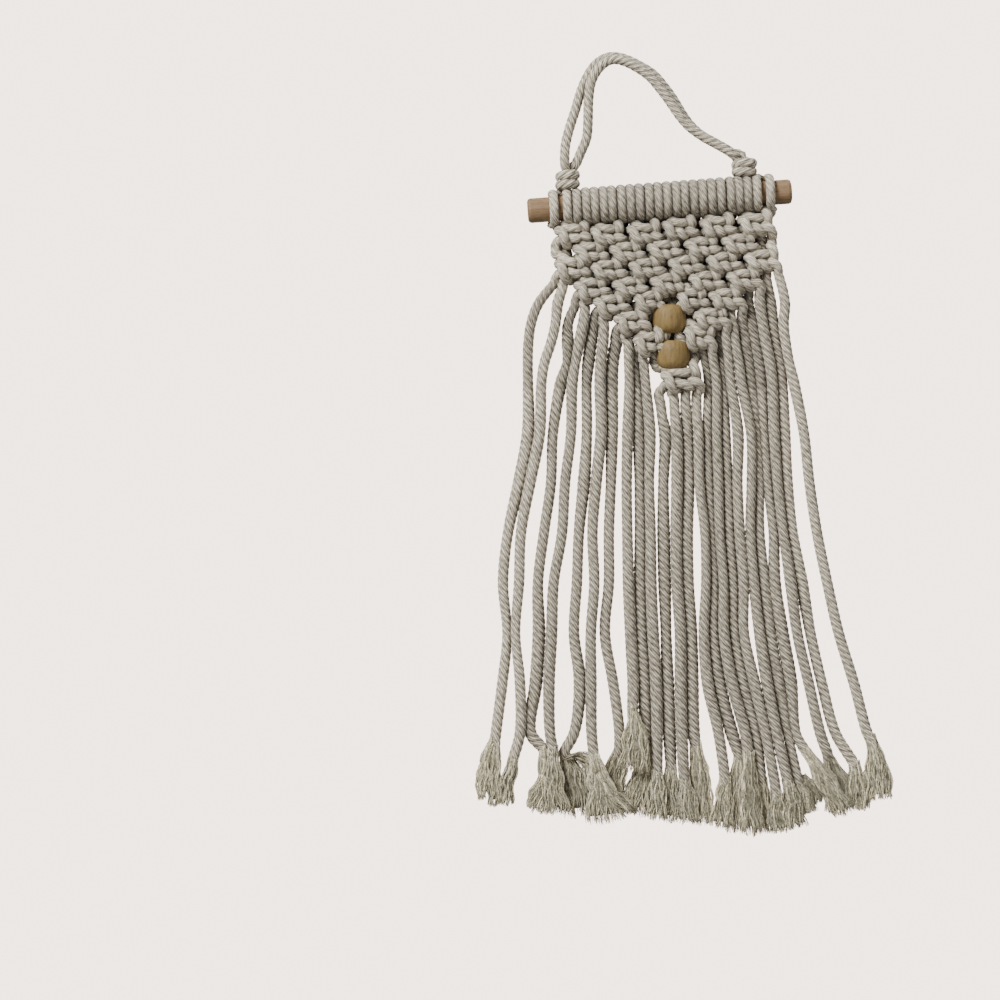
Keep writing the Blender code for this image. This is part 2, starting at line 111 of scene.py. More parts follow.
KNOTS = (
    # first row, under the dowel
    Knot(1, -21.0, -85.0), Knot(5, -4.0, -86.0), Knot(9, 14.5, -85.5),
    Knot(13, 32.0, -83.0), Knot(17, 51.0, -82.0), Knot(21, 70.0, -80.5, reach=0.2),
    # second row
    Knot(3, -12.2, -94.5), Knot(7, 6.0, -94.5), Knot(11, 24.5, -93.5),
    Knot(15, 43.5, -92.0), Knot(19, 62.0, -90.5, reach=0.6),
    # third row
    Knot(1, -21.5, -102.5), Knot(5, -3.5, -103.5), Knot(9, 15.5, -102.5),
    Knot(13, 35.0, -101.0), Knot(17, 54.0, -99.5), Knot(21, 73.0, -98.5, reach=0.2),
    # fourth row
    Knot(3, -11.5, -112.5), Knot(7, 7.5, -112.0), Knot(11, 26.0, -110.0),
    Knot(15, 45.5, -109.0), Knot(19, 64.5, -108.0, reach=0.2),
    # the V closes in, round the beads
    Knot(5, -2.0, -120.5), Knot(9, 17.0, -118.5, width=0.9),
    Knot(13, 38.5, -117.5, width=0.9), Knot(17, 55.5, -117.5, reach=0.2),
    Knot(7, 8.5, -129.0), Knot(15, 48.0, -127.5, reach=0.2),
    Knot(9, 17.2, -139.5, width=0.85), Knot(13, 42.0, -136.5, 6.0, 0.85, 0.2),
    Knot(11, 32.8, -157.6, width=1.3, reach=0.2),
)


# The points that some strands go through between their knots: (x, y, z).
PASSES: dict[int, tuple[Point, ...]] = {
    1: ((-28.6, 0.0, -90.5), (-28.8, 0.0, -96.5)),
    2: ((-23.4, 1.2, -91.0), (-23.4, 1.2, -96.5)),
    23: ((73.8, 1.5, -87.5), (74.4, 1.5, -92.0)),
    24: ((78.3, 0.0, -86.0), (79.0, 0.0, -91.0)),
    # round the beads, and apart below the last knot
    11: ((17.2, 2.6, -126.5), (15.8, 2.0, -132.5), (19.6, 1.5, -147.5), (21.8, 0.5, -152.5),
         (22.4, 0.0, -165.0), (23.4, 0.0, -171.0), (24.2, 0.5, -177.5)),
    14: ((38.6, 2.6, -125.5), (40.6, 2.0, -130.0), (41.0, 1.5, -145.5), (39.4, 0.5, -152.0),
         (41.4, 0.0, -164.5), (41.3, 0.0, -174.0)),
    # through the beads, round each other between them, and apart below the last knot
    12: ((26.4, 2.8, -117.5), (25.4, 0.4, -123.5), (25.4, 0.0, -133.5), (24.2, -2.2, -136.8),
         (25.0, 3.4, -137.0), (29.2, 3.2, -137.4), (27.3, 0.0, -151.0), (30.0, 0.0, -166.5),
         (30.4, -0.6, -175.0)),
    13: ((29.4, 2.4, -117.5), (29.8, 0.4, -123.5), (29.8, 0.0, -133.5), (31.8, -2.2, -136.6),
         (34.6, 3.2, -138.0), (31.7, 1.4, -139.0), (31.7, 0.0, -151.0), (35.7, 0.0, -168.5)),
}

# Each free strand's x at these heights below its last knot, None while it is knotted.
FALL_HEIGHTS = (-120.0, -130.0, -140.0, -150.0, -160.0, -185.0, -210.0, -235.0, -260.0, -285.0,
                -310.0, -335.0)
FALLS: dict[int, tuple[Optional[float], ...]] = {
    1: (-37.6, -41.4, -42.8, -43.1, -43.0, -43.0, -47.5, -53.0, -55.5, -53.4, -55.8, -59.0),
    2: (-28.1, -29.2, -31.5, -34.8, -36.3, -37.2, -42.0, -46.5, -47.5, -49.2, -47.0, -47.0),
    3: (-22.0, -22.9, -23.0, -23.4, -26.4, -30.5, -31.5, -35.0, -38.0, -37.5, -39.0, -41.8),
    4: (-13.9, -15.4, -17.4, -19.2, -20.9, -21.5, -24.5, -26.0, -30.2, -31.2, -32.5, -32.0),
    5: (None, -9.6, -11.5, -12.8, -13.6, -13.5, -15.0, -17.5, -18.5, -20.0, -17.0, -19.8),
    6: (None, -4.8, -5.5, -6.6, -7.0, -6.5, -9.0, -10.8, -9.9, -11.6, -11.5, -11.2),
    7: (None, None, 1.2, -0.6, -1.0, -1.0, -1.5, -2.5, -2.5, -4.5, -0.4, 2.8),
    8: (None, None, 7.4, 7.4, 7.5, 6.8, 6.3, 6.6, 7.2, 8.2, 9.5, None),
    9: (None, None, None, 10.4, 11.5, 12.4, 13.0, 13.3, 13.1, 13.7, 15.2, 16.0),
    10: (None, None, None, 15.0, 15.8, 18.0, 17.6, 18.3, 18.5, 19.5, 21.0, 21.5),
    11: (None, None, None, None, None, 25.7, 24.8, 24.9, 25.4, 26.1, 26.9, 27.8),
    12: (None, None, None, None, None, 31.2, 31.4, 31.0, 31.4, 33.1, 33.2, 33.8),
    13: (None, None, None, None, None, 36.7, 37.3, 36.5, 36.9, 38.6, 39.2, 39.8),
    14: (None, None, None, None, None, 42.1, 42.6, 45.3, 45.8, 44.8, 46.7, 52.2),
    15: (None, None, None, 46.0, 47.3, 46.8, 47.4, 49.0, 50.2, 49.8, 52.7, 59.0),
    16: (None, None, None, 49.8, 51.2, 51.3, 52.1, 52.7, 54.6, 54.9, 58.9, 65.5),
    17: (None, 52.0, 53.2, 54.0, 54.7, 55.8, 56.9, 57.7, 59.5, 60.3, 64.6, 70.8),
    18: (None, 55.4, 56.2, 57.3, 58.3, 61.9, 61.7, 62.8, 64.8, 65.0, 70.2, 75.8),
    19: (57.6, 59.0, 60.4, 62.2, 63.4, 68.3, 68.5, 68.0, 69.8, 72.6, 76.4, 81.2),
    20: (63.0, 64.4, 65.8, 67.3, 68.5, 71.4, 72.7, 72.7, 75.2, 77.9, 82.2, 86.9),
    21: (67.4, 69.2, 70.9, 72.5, 73.6, 74.9, 77.0, 80.0, 80.5, 84.3, 88.6, 91.0),
    22: (72.8, 74.2, 75.9, 77.8, 79.0, 80.0, 81.7, 84.5, 88.2, 91.5, 97.2, 103.0),
    23: (78.2, 79.4, 81.0, 83.0, 84.0, 85.3, 86.7, 89.3, 94.0, 98.3, 104.0, 110.8),
    24: (85.4, 84.6, 85.8, 87.6, 89.8, 94.8, 97.6, 101.4, 106.5, 112.2, 119.8, 126.5),
}


class Brush(NamedTuple):
    """A combed-out end or lock: where it starts, bends and reaches, its half widths and its tone,
    which holds painted shade and light.
    """
    strand: int
    top_x: float
    top_z: float
    mid_x: float
    mid_z: float
    tip_x: float
    tip_z: float
    top_half: float
    mid_half: float
    tip_half: float
    y: float = 0.0
    # painted shade and light: darker for brushes behind, lighter for those in front
    tone: float = 1.0

    @property
    def length(self) -> float:
        """How far it is from its top to its tips."""
        return math.hypot(self.tip_x - self.top_x, self.tip_z - self.top_z)


# A strand's own end comes first, and the locks that fall away from it after. Brushes that hang
# behind are painted darker, and those in front lighter, as painted shade and light.
BRUSHES = (
    Brush(1, -59.6, -341.0, -59.8, -356.0, -59.5, -371.5, 2.5, 3.4, 3.6),
    Brush(1, -61.6, -340.0, -65.2, -353.0, -66.0, -368.0, 1.4, 2.6, 2.4, -1.0, 1.04),
    Brush(2, -50.0, -346.5, -52.7, -358.5, -54.5, -371.0, 2.5, 3.3, 3.6),
    Brush(3, -35.0, -343.5, -34.6, -358.5, -36.6, -375.0, 2.6, 3.9, 5.4, -1.0, 1.04),
    Brush(3, -37.0, -359.5, -39.8, -366.0, -41.6, -372.5, 1.8, 2.4, 2.6, -1.5, 1.08),
    Brush(4, -30.5, -343.5, -30.0, -359.5, -28.2, -375.2, 2.6, 4.8, 6.8),
    Brush(5, -25.0, -345.5, -20.6, -359.0, -18.0, -377.0, 2.7, 7.2, 10.0, 3.0, 0.84),
    Brush(5, -22.0, -347.5, -13.0, -350.0, -9.5, -366.0, 1.6, 3.4, 4.4, 1.5, 0.90),
    Brush(6, -10.0, -347.0, -7.0, -361.0, -4.5, -379.5, 2.6, 6.0, 10.0, -2.5, 1.06),
    Brush(6, -7.0, -356.0, -0.5, -366.0, 8.6, -373.5, 2.2, 3.4, 3.6, -3.0, 1.04),
    Brush(7, 2.6, -344.5, 0.2, -356.0, -1.6, -371.5, 2.6, 6.0, 8.0, 3.0, 0.82),
    Brush(8, 9.2, -323.5, 10.6, -338.5, 9.6, -354.0, 2.6, 6.2, 8.4, -3.0, 1.05),
    Brush(9, 16.5, -339.5, 14.5, -356.0, 12.2, -376.0, 2.7, 4.6, 7.8),
    Brush(9, 14.0, -353.0, 9.5, -365.0, 7.0, -375.5, 2.0, 3.8, 5.4, 1.5, 0.90),
    Brush(10, 21.5, -354.0, 21.5, -364.5, 21.0, -378.0, 2.7, 4.2, 5.6),
    Brush(11, 28.6, -352.0, 28.8, -364.5, 29.0, -379.5, 2.7, 4.0, 5.6),
    Brush(12, 35.2, -358.5, 36.6, -367.5, 38.0, -380.0, 2.7, 4.2, 6.0),
    Brush(13, 40.9, -341.0, 43.0, -360.0, 44.5, -380.5, 2.7, 5.1, 6.0),
    Brush(14, 55.3, -358.0, 54.6, -369.0, 53.8, -382.0, 2.7, 4.2, 6.2),
    Brush(15, 62.9, -347.5, 61.7, -364.5, 62.0, -384.5, 2.7, 4.6, 6.2),
    Brush(16, 67.0, -346.0, 67.5, -364.5, 69.0, -385.5, 2.7, 4.6, 6.6, -1.0, 1.00),
    Brush(17, 73.8, -359.0, 74.8, -371.0, 76.0, -385.0, 2.7, 4.2, 6.2, 0.5, 0.95),
    Brush(18, 80.9, -364.0, 82.0, -374.0, 83.4, -384.5, 2.7, 4.2, 6.2),
    Brush(19, 86.8, -359.5, 88.9, -370.5, 90.6, -382.5, 2.7, 4.2, 6.2),
    Brush(20, 92.7, -361.0, 94.8, -368.0, 96.8, -375.6, 2.7, 4.2, 6.4, 0.5, 0.92),
    Brush(20, 95.4, -357.5, 99.0, -363.8, 102.2, -370.6, 1.8, 4.0, 5.0, 2.5, 0.84),
    Brush(21, 96.5, -345.0, 106.1, -359.5, 115.0, -375.6, 2.6, 5.2, 5.7, -3.0, 1.06),
    Brush(22, 107.0, -346.0, 111.0, -360.0, 114.8, -373.8, 2.6, 7.0, 8.6, 2.5, 0.74),
    Brush(23, 120.3, -351.0, 121.8, -362.5, 122.0, -373.5, 2.6, 5.0, 6.8),
    Brush(24, 128.4, -338.5, 131.8, -354.0, 133.0, -368.0, 2.7, 5.8, 6.4),
    Brush(24, 127.0, -355.5, 126.0, -362.5, 127.0, -370.0, 2.2, 4.0, 5.0, 3.0, 0.78),
)


class FootKnot(NamedTuple):
    """A knot at the foot of the loop, where one cord coils round the other, its core."""
    x: float
    z: float
    half_width: float
    pitch: float  # the height of one turn
    tilt: float  # degrees clockwise
    core: tuple[Point, Point]  # the straight cord's points against the knot's, top first


LEFT_FOOT = FootKnot(-23.1, -58.6, 2.6, 4.1, 6.0, ((-0.4, 0.2, 3.0), (0.0, 0.6, -3.6)))
RIGHT_FOOT = FootKnot(65.2, -52.9, 3.4, 2.1, 20.0, ((-1.6, 0.2, 3.0), (1.0, 0.6, -3.6)))

# The hanging loop's two cords from the left foot knot over the top to the right one: (x, y, z).
LOOP_OUTER = (
    (-24.6, -1.6, -51.0), (-24.4, -1.2, -42.0), (-22.8, -0.4, -34.5), (-19.2, 0.8, -23.0),
    (-16.4, 1.8, -13.8), (-13.0, 2.3, -6.0), (-8.7, 2.3, 0.0), (-3.5, 2.3, 3.0),
    (1.2, 2.3, 3.4), (6.5, 2.3, 2.0), (12.8, 2.3, -1.0), (19.4, 2.3, -5.1),
    (24.6, 2.3, -10.8), (29.6, 2.3, -17.6), (34.2, 2.3, -25.2), (38.4, 2.3, -31.0),
    (44.0, 2.3, -36.0), (51.0, 2.3, -40.0), (57.4, 2.0, -43.6), (61.0, 1.6, -46.4),
)
LOOP_INNER = (
    (-19.6, 0.6, -51.6), (-16.5, 0.2, -44.5), (-13.7, -0.4, -37.5), (-13.0, -1.2, -28.3),
    (-12.8, -1.8, -19.0), (-11.2, -2.3, -9.0), (-7.2, -2.3, -2.4), (-2.8, -2.3, 0.9),
    (1.2, -2.3, 1.5), (6.0, -2.3, 0.2), (12.0, -2.3, -2.9), (18.0, -2.3, -7.3),
    (23.0, -2.3, -13.2), (27.9, -2.3, -19.7), (32.8, -2.3, -26.8), (37.7, -2.3, -32.3),
    (43.8, -2.3, -36.7), (50.9, -2.3, -40.6), (57.2, -2.0, -44.2), (60.4, -1.6, -46.6),
)


# ---- shared shading ------------------------------------------------------------------------
class Nodes:
    """A small helper that adds and joins nodes in one tree."""

    def __init__(self, tree: Tree) -> None:
        """Takes the tree that the nodes go into."""
        self.tree = tree

    def add(self, kind: str, **settings: object) -> Node:
        """Adds a node.

        Args:
            kind: the node's type, without the leading word ShaderNode.
            settings: properties to set on it.

        Returns:
            The new node.
        """
        prefix = "Node" if kind in ("GroupInput", "GroupOutput") else "ShaderNode"
        node = self.tree.nodes.new(prefix + kind)
        for name, value in settings.items():
            setattr(node, name, value)
        return node

    def join(self, source: Socket, target: Socket) -> None:
        """Links one socket to another."""
        self.tree.links.new(source, target)

    def feed(self, target: Socket, value: object) -> None:
        """Gives an input a link if value is a socket, and a plain value otherwise.

        Args:
            target: the input.
            value: a socket or a plain value.
        """
        if isinstance(value, Socket):
            self.join(value, target)
        else:
            target.default_value = value

    def math(self, operation: str, *values: object) -> Socket:
        """Adds a Math node.

        Args:
            operation: what it does.
            values: sockets or numbers.

        Returns:
            The result.
        """
        node = self.add("Math", operation=operation)
        for target, value in zip(node.inputs, values):
            self.feed(target, value)
        return node.outputs[0]

    def spread(self, value: object, low: object, high: object, to_low: object,
               to_high: object) -> Socket:
        """Maps a value from one range to another, clamped.

        Args:
            value: what is mapped.
            low, high: the range that it has.
            to_low, to_high: the range that it gets.

        Returns:
            The result.
        """
        node = self.add("MapRange")
        for name, number in (("Value", value), ("From Min", low), ("From Max", high),
                             ("To Min", to_low), ("To Max", to_high)):
            self.feed(node.inputs[name], number)
        return node.outputs["Result"]

    def noise(self, place: Socket, scale: float, detail: float, roughness: float = 0.5) -> Socket:
        """Adds a noise.

        Args:
            place: where it is read.
            scale: how fine it is.
            detail: how many finer layers it has.
            roughness: how much they count.

        Returns:
            Its value.
        """
        node = self.add("TexNoise")
        self.join(place, node.inputs["Vector"])
        set_inputs(node, {"Scale": scale, "Detail": detail, "Roughness": roughness})
        return node.outputs["Fac"]

    def mix(self, share: object, first: object, second: object, blend: str = "MIX") -> Socket:
        """Mixes two colours.

        Args:
            share: how much of the second colour there is.
            first, second: the colours.
            blend: how they are mixed.

        Returns:
            The result.
        """
        node = self.add("Mix", data_type="RGBA", blend_type=blend)
        self.feed(node.inputs[0], share)
        self.feed(node.inputs[6], first)
        self.feed(node.inputs[7], second)
        return node.outputs[2]

    def attribute(self, name: str) -> Socket:
        """Reads one of the mesh's own attributes and returns its value."""
        return self.add("Attribute", attribute_name=name).outputs["Fac"]

    def dress(self, shader: Node, group: Tree, bump: float, depth: float,
              given: dict[str, object]) -> None:
        """Places a shared look and joins it to the shader.

        Args:
            shader: the Principled shader.
            group: the look, with the outputs Colour and Height and perhaps Rough.
            bump: the strength of its relief.
            depth: how deep the relief is, in metres.
            given: what each input of the look is given.
        """
        look = self.add("Group", node_tree=group)
        for name, value in given.items():
            self.feed(look.inputs[name], value)
        relief = self.add("Bump")
        set_inputs(relief, {"Strength": bump, "Distance": depth})
        self.join(look.outputs["Height"], relief.inputs["Height"])
        self.join(relief.outputs["Normal"], shader.inputs["Normal"])
        self.join(look.outputs["Colour"], shader.inputs["Base Color"])
        if "Rough" in look.outputs:
            self.join(look.outputs["Rough"], shader.inputs["Roughness"])


def set_inputs(node: Node, values: dict[str, object]) -> None:
    """Sets plain values on a node's inputs."""
    for name, value in values.items():
        node.inputs[name].default_value = value


def new_group(name: str, inputs: dict[str, str],
              outputs: dict[str, str]) -> tuple[Nodes, Node, Node]:
    """Starts a node group.

    Args:
        name: the group's name.
        inputs: the type of each input, without the leading NodeSocket.
        outputs: the type of each output.

    Returns:
        A helper on its tree, its input node and its output node.
    """
    group = bpy.data.node_groups.new(name, "ShaderNodeTree")
    for way, sockets in (("INPUT", inputs), ("OUTPUT", outputs)):
        for socket, kind in sockets.items():
            group.interface.new_socket(name=socket, in_out=way, socket_type="NodeSocket" + kind)
    n = Nodes(group)
    return n, n.add("GroupInput"), n.add("GroupOutput")


PLIES = 4
YARNS = 12.0  # yarns round the cord
FIBRES_ROUND = 22.0  # how fine the fibres are round the cord, and along a millimetre
FIBRES_ALONG = 0.38
PATCHES = 160.0  # how fine the matted patches and the slow drift are, in a metre
DRIFT = 22.0


def cord_fibre_group() -> Tree:
    """Builds the shared look of four-ply cotton: yarns and fibres along the plies, with painted
    shade in the grooves between plies and yarns.

    Returns:
        A group with the inputs Along, Place, Tone, Light, Shade, Groove, Yarn and Lean and the
        outputs Colour and Height. Lean is how much steeper the yarns run than their ply. Groove and
        Yarn are how dark the painted shade is between the plies and between the yarns.
    """
    n, look, result = new_group("cotton_ply", {
        "Along": "Vector", "Place": "Vector", "Tone": "Float", "Light": "Color", "Shade": "Color",
        "Groove": "Float", "Yarn": "Float", "Lean": "Float"}, {"Colour": "Color", "Height": "Float"})
    given = look.outputs
    parts = n.add("SeparateXYZ")
    n.join(given["Along"], parts.inputs[0])
    across, along = parts.outputs[0], parts.outputs[1]
    streak = n.math("SUBTRACT", across, n.math("MULTIPLY", along, given["Lean"]))
    fibre_place = n.add("CombineXYZ")
    n.join(n.math("MULTIPLY", streak, FIBRES_ROUND), fibre_place.inputs[0])
    n.join(n.math("MULTIPLY", along, FIBRES_ALONG), fibre_place.inputs[1])
    fibres = n.noise(fibre_place.outputs[0], 1.0, 3.0, 0.65)
    patches = n.noise(given["Place"], PATCHES, 3.0, 0.55)
    drift = n.noise(given["Place"], DRIFT, 1.0)
    # Painted shade in the grooves between plies and between yarns.
    ply = n.math("PINGPONG", n.math("MULTIPLY", across, float(PLIES)), 0.5)
    crest = n.spread(ply, 0.0, 0.40, n.math("SUBTRACT", 1.0, given["Groove"]), 1.0)
    yarn = n.math("PINGPONG", n.math("ADD", n.math("MULTIPLY", streak, YARNS), 0.5), 0.5)
    lift = n.spread(yarn, 0.0, 0.35, n.math("SUBTRACT", 1.0, given["Yarn"]), 1.0)
    level = n.math("MULTIPLY", n.math("MULTIPLY", crest, lift), given["Tone"])
    level = n.math("MULTIPLY", level, n.spread(drift, 0.3, 0.7, 0.95, 1.04))
    bright = n.math("MULTIPLY", n.spread(fibres, 0.38, 0.62, 0.0, 1.0), 0.98)
    bright = n.math("MULTIPLY_ADD", patches, 0.35, bright)
    grey = n.add("CombineColor")
    for channel in grey.inputs[:3]:
        n.join(level, channel)
    colour = n.mix(bright, given["Shade"], given["Light"])
    n.join(n.mix(1.0, colour, grey.outputs[0], "MULTIPLY"), result.inputs["Colour"])
    height = n.math("ADD", n.math("MULTIPLY", fibres, 0.8), n.math("MULTIPLY", patches, 0.35))
    n.join(height, result.inputs["Height"])
    return n.tree


def wood_grain_group() -> Tree:
    """Builds the shared look of bare wood: long soft bands, fine pores and a dry surface.

    Returns:
        A group with the inputs Grain, Light, Dark and Pores and the outputs Colour, Rough
        and Height. Grain is a place stretched so that the grain runs along its third axis.
    """
    n, look, result = new_group(
        "bare_wood", {"Grain": "Vector", "Light": "Color", "Dark": "Color", "Pores": "Float"},
        {"Colour": "Color", "Rough": "Float", "Height": "Float"})
    given = look.outputs
    bands = n.noise(given["Grain"], 1.0, 4.0, 0.6)
    fine = n.noise(given["Grain"], 5.5, 2.0, 0.6)
    pores = n.math("MULTIPLY", n.spread(fine, 0.30, 0.46, 1.0, 0.0), given["Pores"])
    tone = n.spread(bands, 0.32, 0.68, 0.0, 1.0)
    tone = n.math("MULTIPLY_ADD", fine, 0.35, n.math("MULTIPLY", tone, 0.75))
    colour = n.mix(tone, given["Dark"], given["Light"])
    colour = n.mix(pores, colour, n.mix(0.45, given["Dark"], BLACK))
    n.join(colour, result.inputs["Colour"])
    n.join(n.spread(fine, 0.3, 0.7, 0.62, 0.5), result.inputs["Rough"])
    n.join(n.math("SUBTRACT", fine, pores), result.inputs["Height"])
    return n.tree


def linear(colour: Colour) -> tuple[float, float, float, float]:
    """Turns a display colour of 0 to 255 a channel into a linear one with alpha."""
    shares = (value / 255.0 for value in colour)
    return (*(s / 12.92 if s <= 0.04045 else ((s + 0.055) / 1.055) ** 2.4 for s in shares), 1.0)


def plain_material(name: str) -> tuple[Material, Nodes, Node]:
    """Makes a node material.

    Args:
        name: the material's name.

    Returns:
        The material, a helper on its tree, and its Principled shader.
    """
    material = bpy.data.materials.new(name)
    material.use_nodes = True
    return material, Nodes(material.node_tree), material.node_tree.nodes["Principled BSDF"]


@dataclass(frozen=True)
class CottonFinish:
    """Natural cotton cord or combed-out fibre."""
    name: str
    group: Tree
    light: Colour = (250, 237, 212)
    shade: Colour = (128, 119, 101)
    # painted shade: how dark the grooves between plies and the lines between yarns are painted
    groove_shade: float = 0.60
    yarn: float = 0.66
    lean: float = 0.034
    rough: float = 0.92
    specular: float = 0.18
    sheen: float = 0.25
    sheen_rough: float = 0.5
    bump: float = 0.6
    bump_depth: float = 0.0003

    def make(self) -> Material:
        """Makes the material.

        Returns:
            The material.
        """
        material, n, shader = plain_material(self.name)
        set_inputs(shader, {"Roughness": self.rough, "Specular IOR Level": self.specular,
                            "Sheen Weight": self.sheen, "Sheen Roughness": self.sheen_rough})
        relief = n.attribute("relief")
        n.dress(shader, self.group, self.bump, self.bump_depth, {
            "Along": n.add("UVMap", uv_map="along").outputs[0],
            "Place": n.add("TexCoord").outputs["Object"], "Tone": n.attribute("tone"),
            "Light": linear(self.light), "Shade": linear(self.shade),
            "Groove": n.math("MULTIPLY", relief, self.groove_shade),
            "Yarn": n.math("MULTIPLY", relief, self.yarn), "Lean": self.lean})
        return material


@dataclass(frozen=True)
class WoodFinish:
    """Bare wood whose grain runs along one direction of the piece."""
    name: str
    group: Tree
    light: Colour
    dark: Colour
    centre: Point
    tilt: Point
    across: float
    along: float
    pores: float
    specular: float = 0.35
    bump: float = 0.35
    bump_depth: float = 0.00025

    def make(self) -> Material:
        """Makes the material.

        Returns:
            The material.
        """
        material, n, shader = plain_material(self.name)
        set_inputs(shader, {"Specular IOR Level": self.specular})
        mapping = n.add("Mapping", vector_type="TEXTURE")
        n.join(n.add("TexCoord").outputs["Object"], mapping.inputs["Vector"])
        set_inputs(mapping, {
            "Location": self.centre, "Rotation": self.tilt,
            "Scale": (1 / self.across, 1 / self.across, 1 / self.along)})
        n.dress(shader, self.group, self.bump, self.bump_depth, {
            "Grain": mapping.outputs[0], "Light": linear(self.light), "Dark": linear(self.dark),
            "Pores": self.pores})
        return material


# ---- making and seating pieces -------------------------------------------------------------
def tube_skin(count: int, distance: Array) -> tuple[list, Array]:
    """Joins the rings of a tube by quads.

    Args:
        count: the number of points in a ring.
        distance: how far along the tube each ring lies.

    Returns:
        The quads, and the place of their corners round the tube, from 0 to 1, and along it.
    """
    grid = np.arange(len(distance) * count).reshape(-1, count)
    after = np.roll(grid, -1, axis=1)
    quads = np.stack([grid[:-1], after[:-1], after[1:], grid[1:]], axis=2)
    u = np.broadcast_to(np.arange(count) / count, (len(distance) - 1, count))
    v, w = (np.broadcast_to(row[:, None], u.shape) for row in (distance[:-1], distance[1:]))
    corners = np.stack([u, v, u + 1.0 / count, v, u + 1.0 / count, w, u, w], axis=2)
    return quads.reshape(-1, 4).tolist(), corners.reshape(-1, 2)


def cotton_piece(name: str, vertices: Array, faces: list, corners: Array,
                 material: Material, **shades: Array) -> Piece:
    """Makes a piece of cotton.

    Args:
        name: the piece's name.
        vertices: its points, in millimetres.
        faces: the numbers of each face's points.
        corners: the place of each face's corners round and along the cord.
        material: its finish.
        shades: values for each point: tone is its brightness with its painted light and shade,
            relief how much of the grooves' painted shade shows.

    Returns:
        The finished piece.
    """
    mesh = bpy.data.meshes.new(name)
    mesh.from_pydata((vertices * MM).tolist(), [], faces)
    mesh.uv_layers.new(name="along").data.foreach_set("uv", corners.astype(np.float32).ravel())
    for kind, values in shades.items():
        attribute = mesh.attributes.new(kind, "FLOAT", "POINT")
        attribute.data.foreach_set("value", values.astype(np.float32))
    mesh.shade_smooth()
    mesh.materials.append(material)
    piece = bpy.data.objects.new(name, mesh)
    bpy.context.scene.collection.objects.link(piece)
    return piece


def seat(piece: Piece, slot: Slot, *nodes: str) -> None:
    """Lets a piece ride on the body and stand for CAD nodes, which are hidden.

    Args:
        piece: the finished piece.
        slot: its material slot; not used.
        nodes: the CAD nodes that it stands for.
    """
    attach(piece, BODY)
    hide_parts(*nodes)


# ---- rope ----------------------------------------------------------------------------------
# What the columns of a cord's rows hold: its place, its thickness as a share of the cord's own,
# its flattening as a share of its thickness, the direction of that, and how far its plies are
# pressed smooth, from 0 to 1.
PLACE, THICK, FLAT, WAY, PRESSED = slice(0, 3), 3, 4, slice(5, 8), 8


@dataclass
class Route:
    """A cord's centreline as it is laid out, one row for each point."""
    bends: list[tuple[float, ...]] = field(default_factory=list)

    def go(self, x: float, y: float, z: float, thick: float = 1.0, flat: float = 1.0,
           way: Point = (0.0, 1.0, 0.0), pressed: float = 0.0) -> None:
        """Adds a point to the route."""
        self.bends.append((x, y, z, thick, flat, *way, pressed))

    def reversed(self) -> "Route":
        """Returns the route from its far end."""
        return Route(list(reversed(self.bends)))


def between(at: Array, start: float, end: float, first: Array, second: Array) -> Array:
    """Reads the line that passes one place at start and another at end."""
    return (end - at) / (end - start) * first + (at - start) / (end - start) * second


def catmull(points: Array, per_span: int) -> Array:
    """Reads a centripetal Catmull-Rom curve through points.

    Args:
        points: rows of place and further values, which are carried along linearly.
        per_span: samples between two points.

    Returns:
        The sampled rows.
    """
    place = points[:, PLACE]
    padded = np.vstack([2 * place[0] - place[1], place, 2 * place[-1] - place[-2]])
    gaps = np.maximum(np.linalg.norm(np.diff(padded, axis=0), axis=1), 1e-6) ** 0.5
    knots = np.concatenate([[0.0], np.cumsum(gaps)])
    rows = []
    for i in range(len(place) - 1):
        t, near = knots[i:i + 4], padded[i:i + 4]
        last = i == len(place) - 2
        share = np.linspace(0.0, 1.0, per_span + 1)[:None if last else -1, None]
        at = t[1] + share * (t[2] - t[1])
        lines = [between(at, t[k], t[k + 1], near[k], near[k + 1]) for k in range(3)]
        bends = [between(at, t[k], t[k + 2], lines[k], lines[k + 1]) for k in range(2)]
        carried = points[i, 3:] + share * (points[i + 1, 3:] - points[i, 3:])
        rows.append(np.hstack([between(at, t[1], t[2], *bends), carried]))
    return np.vstack(rows)


def distances(place: Array) -> Array:
    """Returns how far along a curve each of its points lies."""
    return np.concatenate([[0.0], np.cumsum(np.linalg.norm(np.diff(place, axis=0), axis=1))])


def even_steps(rows: Array, step: float) -> Array:
    """Reads rows again at even steps along their curve.

    Args:
        rows: samples whose first three values are the place.
        step: the wanted distance between two of them.

    Returns:
        The rows at even steps.
    """
    along = distances(rows[:, PLACE])
    count = max(2, round(along[-1] / step) + 1)
    wanted = np.linspace(0.0, along[-1], count)
    return np.stack([np.interp(wanted, along, rows[:, i]) for i in range(rows.shape[1])], axis=1)


@dataclass
class Lay:
    """A sampled cord, its tone, which holds painted light on the loop cords, and the numbers of the
    strands it holds.
    """
    name: str
    rows: Array
    tone: float = 1.0
    strands: tuple[int, ...] = ()

    @property
    def length(self) -> float:
        """The cord's length in millimetres."""
        return float(distances(self.rows[:, PLACE])[-1])


def gather(lays: Sequence[Lay]) -> tuple[Array, Array]:
    """Returns the rows of all cords as one array, and the number of each row's cord."""
    owner = np.repeat(np.arange(len(lays)), [len(lay.rows) for lay in lays])
    return np.vstack([lay.rows for lay in lays]), owner


def deal_out(values: Array, lays: Sequence[Lay]) -> list[Array]:
    """Splits an array over all cords' rows into those of each cord."""
    return np.split(values, np.cumsum([len(lay.rows) for lay in lays])[:-1])


